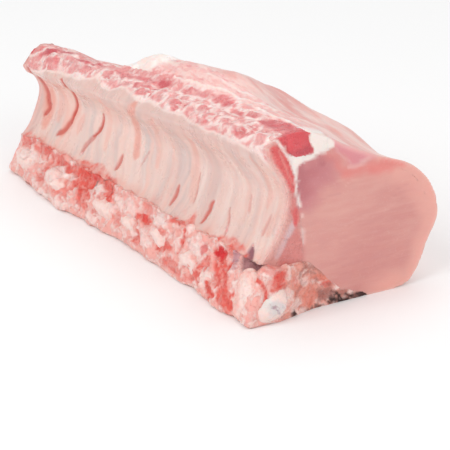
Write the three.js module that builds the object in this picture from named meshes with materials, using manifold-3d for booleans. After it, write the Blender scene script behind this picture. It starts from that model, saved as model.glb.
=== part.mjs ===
// A raw, bone-in rack of pork: eight short-cut ribs, the loin eye behind them and the sawn chine below.
// It lies on its sawn backbone with the cut rib ends up and the hollow, membrane-lined side towards -Y.
// Millimetres, +Z up, +X along the backbone towards the large cut face.
//
// Every piece is drawn in the plane of the large cut face (y to the back, z up), run along the backbone,
// and then brought in towards the far end by one shared function, so that neighbours keep fitting together.

import * as THREE from "three";
import { mergeVertices } from "three/addons/utils/BufferGeometryUtils.js";
import Module from "manifold-3d";

const wasm = await Module();
wasm.setup();

// ---- driving dimensions -------------------------------------------------------------------------

const rackLength = 257.5; // far cut face to the large cut face
const chineReach = 5.5; // how much further the sawn backbone comes out at the large cut face
const pieceGap = 0.3; // between two neighbouring pieces
const lengthSteps = 18; // facets along the rack

// The far cut face against the large one: shares of its width and heights, and how far it sits to -Y.
const farSide = { width: 0.85, shift: -8, ribHeight: 0.69, ridgeHeight: 0.76, backHeight: 0.74 };
const ridgeSag = 0.8; // below 1, the ridge falls sooner
const backFall = [0.53, 0.86]; // shares of the length between which the back steps down
const ridgeZone = [12, 26]; // y over which the rib side turns into the ridge
const backZone = [30, 48]; // and the ridge into the back
const backSwell = { size: 2.2, centre: 150, reach: 28, overY: [40, 60], overZ: [0, 12] };
const backRipple = { share: 0.5, x: 11, y: 25, z: 14 }; // lengths of a crossing wave, over 2 pi
const backboneBows = [
  { centre: 60, reach: 28, size: -4 }, // out towards the hollow side near the far end
  { centre: 160, reach: 45, size: 3 }, // and back in half way along
];
const bowZone = { y: [8, 24], z: [10, 30] }; // only its lower front edge does


const ribPlaces = [26, 61, 92, 125, 156, 187, 216, 245]; // from the far cut face
const rib = { width: 14.5, proud: 1.2, thickness: 5.8, edge: 1.8 };

const vertebrae = [
  { place: 16, length: 25 },
  { place: 58, length: 22 },
  { place: 107, length: 25 },
  { place: 133, length: 19 },
  { place: 163, length: 27 },
  { place: 197, length: 23 },
  { place: 218, length: 15 },
];
const vertebra = { height: 18, depth: 13, centreHeight: 10.5, proud: 1.8 };
const knob = { length: 13, width: 24, height: 16, centre: [17, 7.8] };
const spineTip = { length: 15, height: 26, depth: 9, centreHeight: 14.5, fromFace: 8 };
const canalGap = { length: 11, depth: 16, height: 13, centre: [6, 29], fromFace: 6 };

// ---- the lines of the cut face ------------------------------------------------------------------
// Points of smooth curves, in order. Each is [y, z] on the large cut face.

const pleuraLine = [[10, 31], [19, 43], [25, 61], [22, 74], [16, 84], [13, 92]];
const ridgeLine = [[13, 92], [20, 96.5], [28, 98], [36, 97]];
const backLine = [[36, 97], [58, 89], [81, 78.5], [100, 69], [114, 53.5], [118.5, 37], [115, 18], [105.5, 4], [93, 0]];
const chineFace = [[0, 0], [-2, 3], [2, 16], [10, 31]];
const ribLine = [[13, 35], [19, 43], [25, 60], [24, 72], [20.5, 82], [17, 97.3]];

// Lines between two pieces. The corners, outside the rack, close the line round the piece it takes off.
const chineTop = {
  points: [[-12, 33], [10, 31], [22, 27.5], [36, 27], [46, 19], [58, 9], [72, 3], [80, -8]],
  facets: 11,
  corners: [[80, -60], [-60, -60], [-60, 33]],
};
const wallBack = {
  points: [[22, 112], [22.8, 97], [26.4, 84], [30.6, 70], [31.4, 58], [34, 42], [34, 25]],
  facets: 10,
  corners: [[34, 0], [-60, 0], [-60, 112]],
};
const layerUnder = {
  points: [
    [47.5, 112], [47.5, 93], [48, 88.5], [53, 82.5], [60, 78.5], [69, 78], [85, 73], [101.5, 62], [112, 44],
    [112, 27], [103.5, 12], [93, 3], [86, -10],
  ],
  facets: 16,
  corners: [[86, -60], [170, -60], [170, 160], [47.5, 160]],
};
const capUnder = {
  points: [[22, 91], [29, 85.5], [35, 85], [37.5, 88.5], [36, 95], [36, 112]],
  facets: 7,
  corners: [[36, 160], [0, 160], [0, 91]],
};
const eyeShoulder = {
  points: [[51.5, 86.5], [48, 85.8], [41, 83.5], [34.5, 84], [32.8, 76], [33.4, 66], [30, 54]],
  facets: 8,
  corners: [[0, 54], [0, 160], [51.5, 160]],
};

// ---- helpers ------------------------------------------------------------------------------------

const clamp01 = (t) => Math.min(1, Math.max(0, t));
const between = (a, b, t) => a + (b - a) * t;
const vectors = (points) => points.map(([y, z]) => new THREE.Vector2(y, z));
const curved = (points, count) => new THREE.SplineCurve(vectors(points)).getPoints(count);

// 0 before the zone, 1 after it, and a soft rise between.
function ramp(value, [from, to]) {
  const t = clamp01((value - from) / (to - from));
  return t * t * (3 - 2 * t);
}

// Low, long swellings of the back, zero where it meets the floor.
function swollen(x, y, z) {
  const ripple = Math.sin(x / backRipple.x + y / backRipple.y - z / backRipple.z);
  const along = Math.cos((x - backSwell.centre) / backSwell.reach) - backRipple.share * ripple;
  const rise = backSwell.size * along * ramp(y, backSwell.overY) * ramp(z, backSwell.overZ);
  return [x, y + rise / 2, z + rise];
}

// How a point of the straight, untapered rack moves to its place on the real one.
function settled(...point) {
  const [x, y, z] = swollen(...point);
  const toFar = 1 - clamp01(x / rackLength);
  const back = ramp(y, backZone);
  const frontHeight = between(farSide.ribHeight, farSide.ridgeHeight, ramp(y, ridgeZone));
  const farHeight = between(frontHeight, farSide.backHeight, back);
  const height = 1 - (1 - farHeight) * between(toFar ** ridgeSag, ramp(toFar, backFall), back);
  const inward = between(toFar, toFar ** 2, back);
  const width = 1 - (1 - farSide.width) * inward;
  return [x, y * width + farSide.shift * inward, z * height];
}

// The backbone isn't straight: its free side bows out and in again.
function bowed(x, y, z) {
  const low = (1 - ramp(z, bowZone.z)) * (1 - ramp(y, bowZone.y));
  const bow = ({ centre, reach, size }) => size * Math.exp(-(((x - centre) / reach) ** 2));
  return [x, y + low * backboneBows.reduce((sum, one) => sum + bow(one), 0), z];
}

// Turns a geometry made in the drawing plane (y, z, depth) to lie along the rack, and moves its points.
function laidAlong(geometry, start, ...moves) {
  const place = geometry.getAttribute("position");
  for (let i = 0; i < place.count; i++) {
    let point = [place.getZ(i) + start, place.getX(i), place.getY(i)];
    for (const move of moves) point = move(...point);
    place.setXYZ(i, ...point);
  }
  return geometry;
}

function solid(geometry) {
  const bare = geometry.index ? geometry.toNonIndexed() : geometry.clone();
  bare.deleteAttribute("normal");
  bare.deleteAttribute("uv");
  const merged = mergeVertices(bare, 1e-3);
  return new wasm.Manifold(
    new wasm.Mesh({
      numProp: 3,
      vertProperties: merged.getAttribute("position").array,
      triVerts: new Uint32Array(merged.index.array),
    }),
  );
}

function geometryOf(manifold) {
  const mesh = manifold.getMesh();
  const geometry = new THREE.BufferGeometry();
  geometry.setAttribute("position", new THREE.BufferAttribute(mesh.vertProperties, 3));
  geometry.setIndex(new THREE.BufferAttribute(mesh.triVerts, 1));
  const flat = geometry.toNonIndexed();
  flat.computeVertexNormals();
  return flat;
}

// A slab of the rack: a closed outline run from one place along the backbone to another.
function run(outline, from, to, steps, ...moves) {
  const options = { depth: to - from, steps, bevelEnabled: false };
  return solid(laidAlong(new THREE.ExtrudeGeometry(new THREE.Shape(outline), options), from, ...moves));
}

// The line moved sideways; a positive distance is to its left.
function offsetLine(points, distance) {
  return points.map((point, i) => {
    const before = points[Math.max(0, i - 1)];
    const after = points[Math.min(points.length - 1, i + 1)];
    const way = after.clone().sub(before).normalize();
    return new THREE.Vector2(point.x - way.y * distance, point.y + way.x * distance);
  });
}

// Parts a solid along a line, which corners outside the rack close to a region: what lies in the region
// and what doesn't, with the gap between them. Both faces have the same facets, so they never touch.
function parted(whole, { points, facets, corners }) {
  const line = curved(points, facets);
  const inward = Math.sign(THREE.ShapeUtils.area([...line, ...vectors(corners)]));
  const region = (distance) => {
    const outline = [...offsetLine(line, distance * inward), ...vectors(corners)];
    return run(outline, -pieceGap, rackLength + chineReach + pieceGap, lengthSteps, settled);
  };
  return [whole.intersect(region(pieceGap / 2)), whole.subtract(region(-pieceGap / 2))];
}

// ---- the whole rack, cut along its seams --------------------------------------------------------

function wholeRack() {
  const outline = [
    ...curved(chineFace, 4),
    ...curved(pleuraLine, 9).slice(1),
    ...curved(ridgeLine, 3).slice(1),
    ...curved(backLine, 15).slice(1),
  ].reverse();
  return run(outline, 0, rackLength + chineReach, lengthSteps, bowed, settled);
}

// What the knife took off the large cut face, above the backbone and behind its front corner.
function faceTrim() {
  const line = curved(chineTop.points, chineTop.facets).slice(1, -1);
  const outline = [...line, new THREE.Vector2(140, -20), new THREE.Vector2(140, 130), new THREE.Vector2(-20, 130)];
  const above = run(outline, rackLength, rackLength + chineReach + 10, 1);
  const plan = [[16, rackLength + chineReach], [42, rackLength], [130, rackLength], [130, rackLength + 20]];
  const slope = new THREE.ExtrudeGeometry(new THREE.Shape(vectors([...plan, [16, rackLength + 20]])), {
    depth: 60,
    bevelEnabled: false,
  });
  slope.applyMatrix4(new THREE.Matrix4().set(0, 1, 0, 0, 1, 0, 0, 0, 0, 0, -1, 50, 0, 0, 0, 1));
  return above.add(solid(slope));
}

// ---- bones --------------------------------------------------------------------------------------

// A rib follows the hollow side from the backbone to the sawn ridge, a little proud of the meat.
function ribSolid(place, grow = 0) {
  const steps = 8;
  const line = curved(ribLine, steps);
  const first = line[0].clone().sub(line[1]).setLength(grow).add(line[0]);
  const last = line[steps].clone().sub(line[steps - 1]).setLength(grow).add(line[steps]);
  const spine = [first, ...line.slice(1, steps), last];
  const hollowSide = offsetLine(spine, rib.proud + grow);
  const meatSide = offsetLine(spine, rib.proud - rib.thickness - grow);
  const geometry = new THREE.ExtrudeGeometry(new THREE.Shape([...hollowSide, ...meatSide.reverse()]), {
    depth: rib.width + 2 * (grow - rib.edge),
    steps: 1,
    bevelEnabled: true,
    bevelSegments: 1,
    bevelThickness: rib.edge,
    bevelSize: rib.edge * 0.6,
    bevelOffset: -rib.edge * 0.6,
  });
  return solid(laidAlong(geometry, place - rib.width / 2 - grow + rib.edge, settled));
}

// A rounded block: a ball drawn out to three sizes, its sides flattened by the power.
function block({ length, depth, height }, segments, power, grow = 0) {
  const ball = new THREE.SphereGeometry(1, segments, Math.round(segments * 0.65));
  const place = ball.getAttribute("position");
  const squared = (v) => Math.sign(v) * Math.abs(v) ** power;
  for (let i = 0; i < place.count; i++) {
    place.setXYZ(
      i,
      squared(place.getX(i)) * (length / 2 + grow),
      squared(place.getY(i)) * (depth / 2 + grow),
      squared(place.getZ(i)) * (height / 2 + grow),
    );
  }
  return ball;
}

function vertebraSolid(index, grow = 0) {
  const { place, length } = vertebrae[index];
  const height = vertebra.height * (0.75 + (0.25 * length) / 27);
  const ball = block({ length, depth: vertebra.depth, height }, 11, 0.75, grow);
  const faceY = 1.5 + 0.12 * vertebra.centreHeight;
  const centreHeight = vertebra.centreHeight + Math.sin(index * 1.7);
  const [x, y, z] = settled(...bowed(place, faceY, centreHeight));
  ball.rotateX(0.2).rotateY(0.12 * Math.sin(index * 1.3));
  return solid(ball.translate(x, y + vertebra.depth / 2 - vertebra.proud, Math.max(z, height / 2 + 0.8)));
}

function processSolid(grow = 0) {
  const ball = block(spineTip, 12, 0.8, grow);
  return solid(ball.rotateX(-0.25).translate(rackLength - spineTip.fromFace, 5.2, spineTip.centreHeight));
}

function knobSolid(grow = 0) {
  const ball = block({ length: knob.length, depth: knob.width, height: knob.height }, 14, 0.8, grow);
  const centreX = rackLength + chineReach - knob.length / 2 + 1.5;
  return solid(ball.rotateX(0.35).translate(centreX, knob.centre[0], knob.centre[1] + 1.2));
}

// The dark gap beside the last rib, where the canal of the backbone opens.
function canalGapSolid() {
  const ball = block(canalGap, 10, 0.85);
  return solid(ball.rotateY(0.5).translate(rackLength - canalGap.fromFace, ...canalGap.centre));
}

// ---- looks --------------------------------------------------------------------------------------

const finish = (color, roughness) => new THREE.MeshStandardMaterial({ color, roughness, metalness: 0 });
const leanMeat = finish(0xdb9a94, 0.45);
const backMeat = finish(0xe8aaa2, 0.45);
const darkMeat = finish(0xc9484c, 0.4);
const fat = finish(0xf6e4da, 0.5);
const lining = finish(0xeccfc6, 0.35);
const bone = finish(0xefc9c0, 0.55);
const chineMeat = finish(0xe98f86, 0.45);
const gristle = finish(0xe6e6e2, 0.3);

// ---- assembly -----------------------------------------------------------------------------------

const rack = new THREE.Group();

function add(name, manifold, material) {
  const body = manifold.decompose().sort((a, b) => b.volume() - a.volume())[0];
  const mesh = new THREE.Mesh(geometryOf(body), material);
  mesh.name = name;
  rack.add(mesh);
}

const whole = wholeRack().subtract(faceTrim());
let [chine, aboveChine] = parted(whole, chineTop);
let [ribWall, behindWall] = parted(aboveChine, wallBack);
const [backLayer, underLayer] = parted(behindWall, layerUnder);
const [capMuscle, underCap] = parted(underLayer, capUnder);
const [seamFat, loinEye] = parted(underCap, eyeShoulder);

ribPlaces.forEach((place, i) => {
  ribWall = ribWall.subtract(ribSolid(place, pieceGap));
  add(`rib_${i + 1}`, ribSolid(place), bone);
});
chine = chine.subtract(canalGapSolid());
vertebrae.forEach((_, i) => {
  chine = chine.subtract(vertebraSolid(i, pieceGap));
  add(`vertebra_${i + 1}`, vertebraSolid(i), bone);
});
chine = chine.subtract(processSolid(pieceGap)).subtract(knobSolid(pieceGap));

add("loin_eye", loinEye, leanMeat);
add("back_layer", backLayer, backMeat);
add("cap_muscle", capMuscle, darkMeat);
add("seam_fat", seamFat, fat);
add("rib_wall", ribWall, lining);
add("chine", chine, chineMeat);
add("spine_process", processSolid().subtract(knobSolid(pieceGap)), bone);
add("chine_gristle", knobSolid(), gristle);

// The frame's origin is on the floor, under the middle of the rack.
const bounds = new THREE.Box3().setFromObject(rack);
const middle = bounds.getCenter(new THREE.Vector3());
rack.position.set(-middle.x, -middle.y, -bounds.min.z);

const part = new THREE.Group();
part.add(rack);

export default part;
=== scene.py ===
import math

import bmesh
import bpy
import numpy as np
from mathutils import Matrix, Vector
from mathutils.kdtree import KDTree


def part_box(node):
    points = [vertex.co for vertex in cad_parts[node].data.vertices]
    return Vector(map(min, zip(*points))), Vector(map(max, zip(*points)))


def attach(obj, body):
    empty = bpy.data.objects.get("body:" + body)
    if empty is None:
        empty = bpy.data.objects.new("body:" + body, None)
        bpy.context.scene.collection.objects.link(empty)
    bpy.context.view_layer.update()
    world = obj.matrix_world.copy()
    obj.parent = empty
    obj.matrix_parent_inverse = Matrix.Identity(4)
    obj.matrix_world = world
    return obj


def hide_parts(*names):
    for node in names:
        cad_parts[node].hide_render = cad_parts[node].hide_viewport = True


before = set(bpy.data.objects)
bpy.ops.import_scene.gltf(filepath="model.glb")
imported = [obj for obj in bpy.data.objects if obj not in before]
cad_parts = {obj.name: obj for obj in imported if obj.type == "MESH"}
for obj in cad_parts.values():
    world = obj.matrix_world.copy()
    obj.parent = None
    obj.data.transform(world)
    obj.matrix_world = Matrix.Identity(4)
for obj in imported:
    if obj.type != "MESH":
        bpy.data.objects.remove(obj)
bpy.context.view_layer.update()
print("rack: frame loaded")

# The rack is drawn straight, in millimetres: x along the backbone from the far cut face, y to the back, z up.
# Then it settles: lower, narrower and a little swollen towards the far end.
rackShape = {
    "length": 257.5,
    "nearFace": (253, 256.5),
    "farFace": (1, 4.5),
    "farWidth": 0.85,
    "farShift": -8.0,
    "ribHeight": 0.69,
    "ridgeHeight": 0.76,
    "backHeight": 0.74,
    "ridgeSag": 0.8,
    "backFall": (0.53, 0.86),
    "ridgeZone": (12, 26),
    "backZone": (30, 48),
    "swell": 2.2,
    "swellCentre": 150,
    "swellReach": 28,
    "ripple": 0.5,
    "bows": ((60, 28, -4), (160, 45, 3)),
}

# The cut face's lines, as points (y, z) of smooth curves
cutLines = {
    "pleura": [(10, 31), (19, 43), (25, 61), (22, 74), (16, 84), (13, 92)],
    "ridge": [(13, 92), (20, 96.5), (28, 98), (36, 97)],
    "back": [
        (36, 97), (58, 89), (81, 78.5), (100, 69), (114, 53.5), (118.5, 37), (115, 18), (105.5, 4), (93, 0),
    ],
    "chineFace": [(0, 0), (-2, 3), (2, 16), (10, 31)],
    "underside": [(0, 0), (45, 0), (93, 0)],
    "wallBack": [(22, 112), (22.8, 97), (26.4, 84), (30.6, 70), (31.4, 58), (34, 42), (34, 25)],
    "chineTop": [(-12, 33), (10, 31), (22, 27.5), (36, 27), (46, 19), (58, 9), (72, 3), (80, -8)],
    "capUnder": [(22, 91), (29, 85.5), (35, 85), (37.5, 88.5), (36, 95), (36, 112)],
    "layerUnder": [
        (47.5, 112), (47.5, 93), (48, 88.5), (53, 82.5), (60, 78.5), (69, 78), (85, 73), (101.5, 62),
        (112, 44), (112, 27), (103.5, 12), (93, 3), (86, -10),
    ],
    "eyeShoulder": [(51.5, 86.5), (48, 85.8), (41, 83.5), (34.5, 84), (32.8, 76), (33.4, 66), (30, 54)],
}

# The ribs' places along x, from the far end, and how many vertebrae there are
ribPlaces = (26, 61, 92, 125, 156, 187, 216, 245)
vertebraCount = 7


# 0 before the start, 1 after the end and smooth between them
def ramp(value, start, end):
    t = np.clip((value - start) / (end - start), 0, 1)
    return t * t * (3 - 2 * t)


def blend(a, b, t):
    return a + (b - a) * t


knobLow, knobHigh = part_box("chine_gristle")
offset = np.array([258 - 500 * (knobLow.x + knobHigh.x), 17 - 500 * (knobLow.y + knobHigh.y), 0])


def swelling(x, y, z):
    shape = rackShape
    along = np.cos((x - shape["swellCentre"]) / shape["swellReach"])
    along -= shape["ripple"] * np.sin(x / 11 + y / 25 - z / 14)
    return shape["swell"] * along * ramp(y, 40, 60) * ramp(z, 0, 12)


def bowing(x, y, z):
    low = (1 - ramp(z, 10, 30)) * (1 - ramp(y, 8, 24))
    bows = (size * np.exp(-(((x - centre) / reach) ** 2)) for centre, reach, size in rackShape["bows"])
    return low * sum(bows)


def taper(x, y):
    shape = rackShape
    toFar = 1 - np.clip(x / shape["length"], 0, 1)
    back = ramp(y, *shape["backZone"])
    front = blend(shape["ribHeight"], shape["ridgeHeight"], ramp(y, *shape["ridgeZone"]))
    farHeight = blend(front, shape["backHeight"], back)
    height = 1 - (1 - farHeight) * blend(toFar ** shape["ridgeSag"], ramp(toFar, *shape["backFall"]), back)
    inward = blend(toFar, toFar**2, back)
    return 1 - (1 - shape["farWidth"]) * inward, shape["farShift"] * inward, height


# From the straight drawing to the rack as it lies in the frame, in millimetres
def settle(drawn):
    x, y, z = drawn.T
    y = y + bowing(x, y, z)
    rise = swelling(x, y, z)
    y, z = y + rise / 2, z + rise
    width, shift, height = taper(x, y)
    return np.stack([x, y * width + shift, z * height], 1) - offset


# The way back to the straight drawing, found in a few rounds
def straighten(placed):
    x, placedY, placedZ = (placed + offset).T
    y, z = placedY.copy(), placedZ.copy()
    for _ in range(14):
        width, shift, height = taper(x, y)
        swollenY, swollenZ = (placedY - shift) / width, placedZ / height
        rise = swelling(x, y, z)
        y, z = swollenY - rise / 2, swollenZ - rise
    return np.stack([x, y - bowing(x, y, z), z], 1)


# A smooth line through the points
def curve(points, count=160):
    pts = np.array(points, float)
    t = np.linspace(0, len(pts) - 1, count)
    i = np.minimum(t.astype(int), len(pts) - 2)
    w = (t - i)[:, None]
    p0, p1 = pts[np.maximum(i - 1, 0)], pts[i]
    p2, p3 = pts[i + 1], pts[np.minimum(i + 2, len(pts) - 1)]
    v1, v2 = (p2 - p0) / 2, (p3 - p1) / 2
    return (2 * p1 - 2 * p2 + v1 + v2) * w**3 + (-3 * p1 + 3 * p2 - 2 * v1 - v2) * w**2 + v1 * w + p1


def lineTree(names):
    points = np.vstack([curve(cutLines[name]) for name in names])
    tree = KDTree(len(points))
    for i, (y, z) in enumerate(points):
        tree.insert((y, z, 0), i)
    tree.balance()
    return tree, points


outerLines = lineTree(["pleura", "ridge", "back", "chineFace", "underside"])
seamLines = lineTree(["wallBack", "chineTop", "capUnder", "layerUnder", "eyeShoulder"])
pleuraLine = lineTree(["pleura"])
chineLine = lineTree(["chineFace"])


# The nearest point (y, z) on some lines, and how far away it is
def nearest(drawn, lines):
    tree, points = lines
    found = np.array([tree.find((y, z, 0))[1:] for y, z in drawn[:, 1:]])
    return points[found[:, 0].astype(int)], found[:, 1]


# Smooth noise in space, from -1 to 1, the same on every run
def cloud(points, size, seed=0, octaves=3):
    total, weight, full = np.zeros(len(points)), 1.0, 0.0
    for octave in range(octaves):
        p = points / size * 2**octave + seed * 13.7 + octave * 5.3
        cell = np.floor(p)
        f = p - cell
        f = f * f * (3 - 2 * f)
        value = np.zeros(len(points))
        for corner in range(8):
            step = np.array([corner & 1, corner >> 1 & 1, corner >> 2 & 1])
            at = cell + step
            raw = np.sin(at @ np.array([127.1, 311.7, 74.7]) + seed) * 43758.5453
            share = np.prod(np.where(step, f, 1 - f), axis=1)
            value += share * (raw - np.floor(raw))
        total += weight * (2 * value - 1)
        full += weight
        weight /= 2
    return total / full * 1.6


# Ragged spots in space: (centre, radii, strength)
def spots(points, items, wobble=0.35, seed=1):
    amount = np.zeros(len(points))
    for i, (at, size, strength) in enumerate(items):
        size = np.array(size, float)
        away = np.linalg.norm((points - np.array(at)) / size, axis=1)
        near = away < 2
        rough = cloud(points[near], size.mean() * 0.7, seed + i)
        amount[near] = np.maximum(amount[near], strength * (1 - ramp(away[near] + wobble * rough, 0.6, 1.1)))
    return amount


# How near points in a plane lie to a smooth stroke, 1 on it and 0 beyond its width; it thins towards its ends
def stroke(flat, path, width):
    thin = 0.45
    line = curve(path, 8 * len(path))
    away, share = np.full(len(flat), 1e9), np.zeros(len(flat))
    for i in range(len(line) - 1):
        a, b = line[i], line[i + 1]
        t = np.clip(((flat - a) @ (b - a)) / max((b - a) @ (b - a), 1e-9), 0, 1)
        d = np.linalg.norm(flat - a - t[:, None] * (b - a), axis=1)
        share = np.where(d < away, (i + t) / (len(line) - 1), share)
        away = np.minimum(away, d)
    wide = width * (thin + (1 - thin) * np.sin(np.pi * np.clip(share, 0.02, 0.98)) ** 0.5)
    return 1 - ramp(away / wide, 0.3, 1.0)


def strokes(flat, items):
    amount = np.zeros(len(flat))
    for path, width, strength in items:
        amount = np.maximum(amount, stroke(flat, path, width) * strength)
    return amount


# The same in a plane
def blots(flat, items, wobble=0.3, seed=1):
    points = np.column_stack([flat, np.zeros(len(flat))])
    return spots(points, [((*at, 0), (*size, 1), strength) for at, size, strength in items], wobble, seed)


# 1 inside a closed smooth outline in a plane, fading to 0 over a soft edge
def region(flat, loop, soft=1.5, wobble=0.0, seed=1):
    line = curve(list(loop) + [loop[0]], 10 * len(loop))[:-1]
    if wobble:
        points = np.column_stack([flat, np.zeros(len(flat))])
        flat = flat + wobble * np.stack([cloud(points, 7, seed), cloud(points, 7, seed + 1)], 1)
    inside, away = np.zeros(len(flat), bool), np.full(len(flat), 1e9)
    for (ay, az), (by, bz) in zip(line, np.roll(line, -1, 0)):
        step = np.array([by - ay, bz - az])
        t = np.clip(((flat - (ay, az)) @ step) / max(step @ step, 1e-9), 0, 1)
        away = np.minimum(away, np.linalg.norm(flat - (ay, az) - t[:, None] * step, axis=1))
        crosses = (az > flat[:, 1]) != (bz > flat[:, 1])
        at = ay + (flat[:, 1] - az) * step[0] / (step[1] if abs(step[1]) > 1e-9 else 1e-9)
        inside ^= crosses & (flat[:, 0] < at)
    return ramp(np.where(inside, away, -away), -soft, soft)


# A closed skin over the named solids, with even small faces
def skinOver(name, nodes, voxel, grow=0.0):
    bm = bmesh.new()
    for node in nodes:
        bm.from_mesh(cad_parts[node].data)
    bmesh.ops.remove_doubles(bm, verts=bm.verts, dist=2e-6)
    bmesh.ops.recalc_face_normals(bm, faces=bm.faces)
    bm.normal_update()
    for vert, move in [(v, v.normal * grow * 0.001) for v in bm.verts]:
        vert.co += move
    rough = bpy.data.meshes.new(name + "Rough")
    bm.to_mesh(rough)
    bm.free()
    obj = bpy.data.objects.new(name, rough)
    bpy.context.scene.collection.objects.link(obj)
    remesh = obj.modifiers.new("skin", "REMESH")
    remesh.mode = "VOXEL"
    remesh.voxel_size = voxel * 0.001
    skin = bpy.data.meshes.new_from_object(obj.evaluated_get(bpy.context.evaluated_depsgraph_get()))
    obj.modifiers.clear()
    obj.data = skin
    bpy.data.meshes.remove(rough)
    return obj


def pointsOf(obj):
    flat = np.empty(len(obj.data.vertices) * 3, np.float32)
    obj.data.vertices.foreach_get("co", flat)
    return flat.reshape(-1, 3).astype(float) * 1000


def normalsOf(obj):
    flat = np.empty(len(obj.data.vertices) * 3, np.float32)
    obj.data.vertex_normals.foreach_get("vector", flat)
    return flat.reshape(-1, 3).astype(float)


def movePoints(obj, points):
    obj.data.vertices.foreach_set("co", (points * 0.001).astype(np.float32).ravel())
    obj.data.update()


# Moves every point halfway to the middle of its neighbours, once a round
def softened(obj, points, rounds, weight=None):
    pairs = np.empty(len(obj.data.edges) * 2, np.int32)
    obj.data.edges.foreach_get("vertices", pairs)
    a, b = pairs.reshape(-1, 2).T
    total = len(points)
    count = np.bincount(np.r_[a, b], minlength=total)[:, None]
    for _ in range(rounds):
        sums = [np.bincount(a, points[b, k], total) + np.bincount(b, points[a, k], total) for k in range(3)]
        step = (np.stack(sums, 1) / np.maximum(count, 1) - points) * 0.5
        points = points + (step if weight is None else step * weight[:, None])
    return points


# How far a point belongs to one of the two cut faces
def facing(x):
    return np.maximum(ramp(x, *rackShape["nearFace"]), 1 - ramp(x, *rackShape["farFace"]))


# Away from the rack's middle along x: 1 towards the near end, -1 towards the far end
def endSide(x):
    return np.where(x > rackShape["length"] / 2, 1, -1)


# Rises and hollows of the back: centre along x, reach, from y, to y, height
backRises = (
    (0, 90, 60, 130, -6.5),
    (50, 22, 42, 60, -3.0),
    (92, 11, 38, 66, 3.2),
    (114, 9, 38, 66, -1.0),
    (149, 22, 38, 66, 2.6),
    (212, 26, 72, 96, -2.0),
)


# Where the lower back draws in: from y to y, from height to height, from x to x, and how far
flank = {"outward": (92, 113), "height": (22, 40), "along": (120, 230), "pull": 5.0}


# Low swellings that all pieces share, so that they stay closed along their seams
def handled(drawn):
    x, y, z = drawn.T
    moved = drawn.copy()
    face = facing(x)
    flat = np.stack([y, z, 0 * x], 1)
    moved[:, 0] += endSide(x) * face * 0.45 * cloud(flat, 20, 2, 2)
    out = np.stack([y - 55, z - 45], 1)
    out /= np.linalg.norm(out, axis=1)[:, None]
    waves = (1 - face) * ramp(z, 4, 20) * ramp(y, 30, 60) * 0.6 * cloud(drawn * [0.4, 1, 1], 13, 4, 3)
    moved[:, 1:] += out * waves[:, None]
    pull = flank["pull"] * ramp(y, *flank["outward"]) * (1 - ramp(z, *flank["height"]))
    moved[:, 1] -= pull * ramp(x, *flank["along"])
    high = ramp(y, 36, 45) * ramp(z, 30, 65)
    for centre, reach, low, top, size in backRises:
        along = high * size * np.exp(-np.abs((x - centre) / reach) ** 3)
        moved[:, 2] += along * ramp(y, low - 8, low) * (1 - ramp(y, top, top + 14))
    return moved


# The rough sawn top: every piece that reaches it gets the same crags
def sawnTop(drawn):
    _, y, z = drawn.T
    top = ramp(z, 89, 93.5) * (1 - ramp(y, 37, 44))
    return top * (0.75 * cloud(drawn * [1, 1, 0.4], 7, 91, 2) + 0.55 * cloud(drawn, 3.2, 92, 2))


seams = {
    "snap": 0.95,  # points this near a cut face lie on it
    "fade": 1.6,  # how many reaches away from a line its pull ends
    "overlap": 0.45,  # points on a seam go out this far, so that neighbours close
}


# Lays a skin exactly on the smooth lines that its facets stand for
def trued(obj, reach=1.1, rounds=2, ends=(0, rackShape["length"])):
    placed = softened(obj, pointsOf(obj), 1)
    drawn = straighten(placed)
    rest = placed - settle(drawn)
    for target, away in (nearest(drawn, outerLines), nearest(drawn, seamLines)):
        hug = 1 - ramp(away, reach, reach * seams["fade"])
        drawn[:, 1:] += (target - drawn[:, 1:]) * hug[:, None]
    for end in ends:
        drawn[:, 0] = np.where(np.abs(drawn[:, 0] - end) < seams["snap"], end, drawn[:, 0])
    placed = softened(obj, settle(drawn) + rest, rounds, 1 - hug)
    movePoints(obj, placed)
    drawn = straighten(placed)
    placed = placed + normalsOf(obj) * [0, 1, 1] * (seams["overlap"] * hug)[:, None]
    movePoints(obj, placed)
    return placed, drawn, hug


# Masks for the shaders, one value a point
def paint(obj, **masks):
    for name, values in masks.items():
        layer = obj.data.attributes.new(name, "FLOAT", "POINT")
        layer.data.foreach_set("value", np.clip(values, 0, 1).astype(np.float32))


def finishPiece(obj, material, slot, *nodes):
    movePoints(obj, np.maximum(pointsOf(obj), [-1e4, -1e4, 0]))  # nothing dips into the floor
    obj.data.materials.clear()
    obj.data.materials.append(material)
    obj.data.polygons.foreach_set("use_smooth", np.ones(len(obj.data.polygons), bool))
    obj.data.set_sharp_from_angle(angle=math.radians(55))
    obj.data.update()
    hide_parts(*nodes)
    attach(obj, "root")
    print(f"rack: {obj.name}, {len(obj.data.polygons)} faces")


# A colour as the shaders take it, from its web code
def tint(code):
    srgb = [int(code[i : i + 2], 16) / 255 for i in (0, 2, 4)]
    return (*[c / 12.92 if c <= 0.04045 else ((c + 0.055) / 1.055) ** 2.4 for c in srgb], 1)


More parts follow.
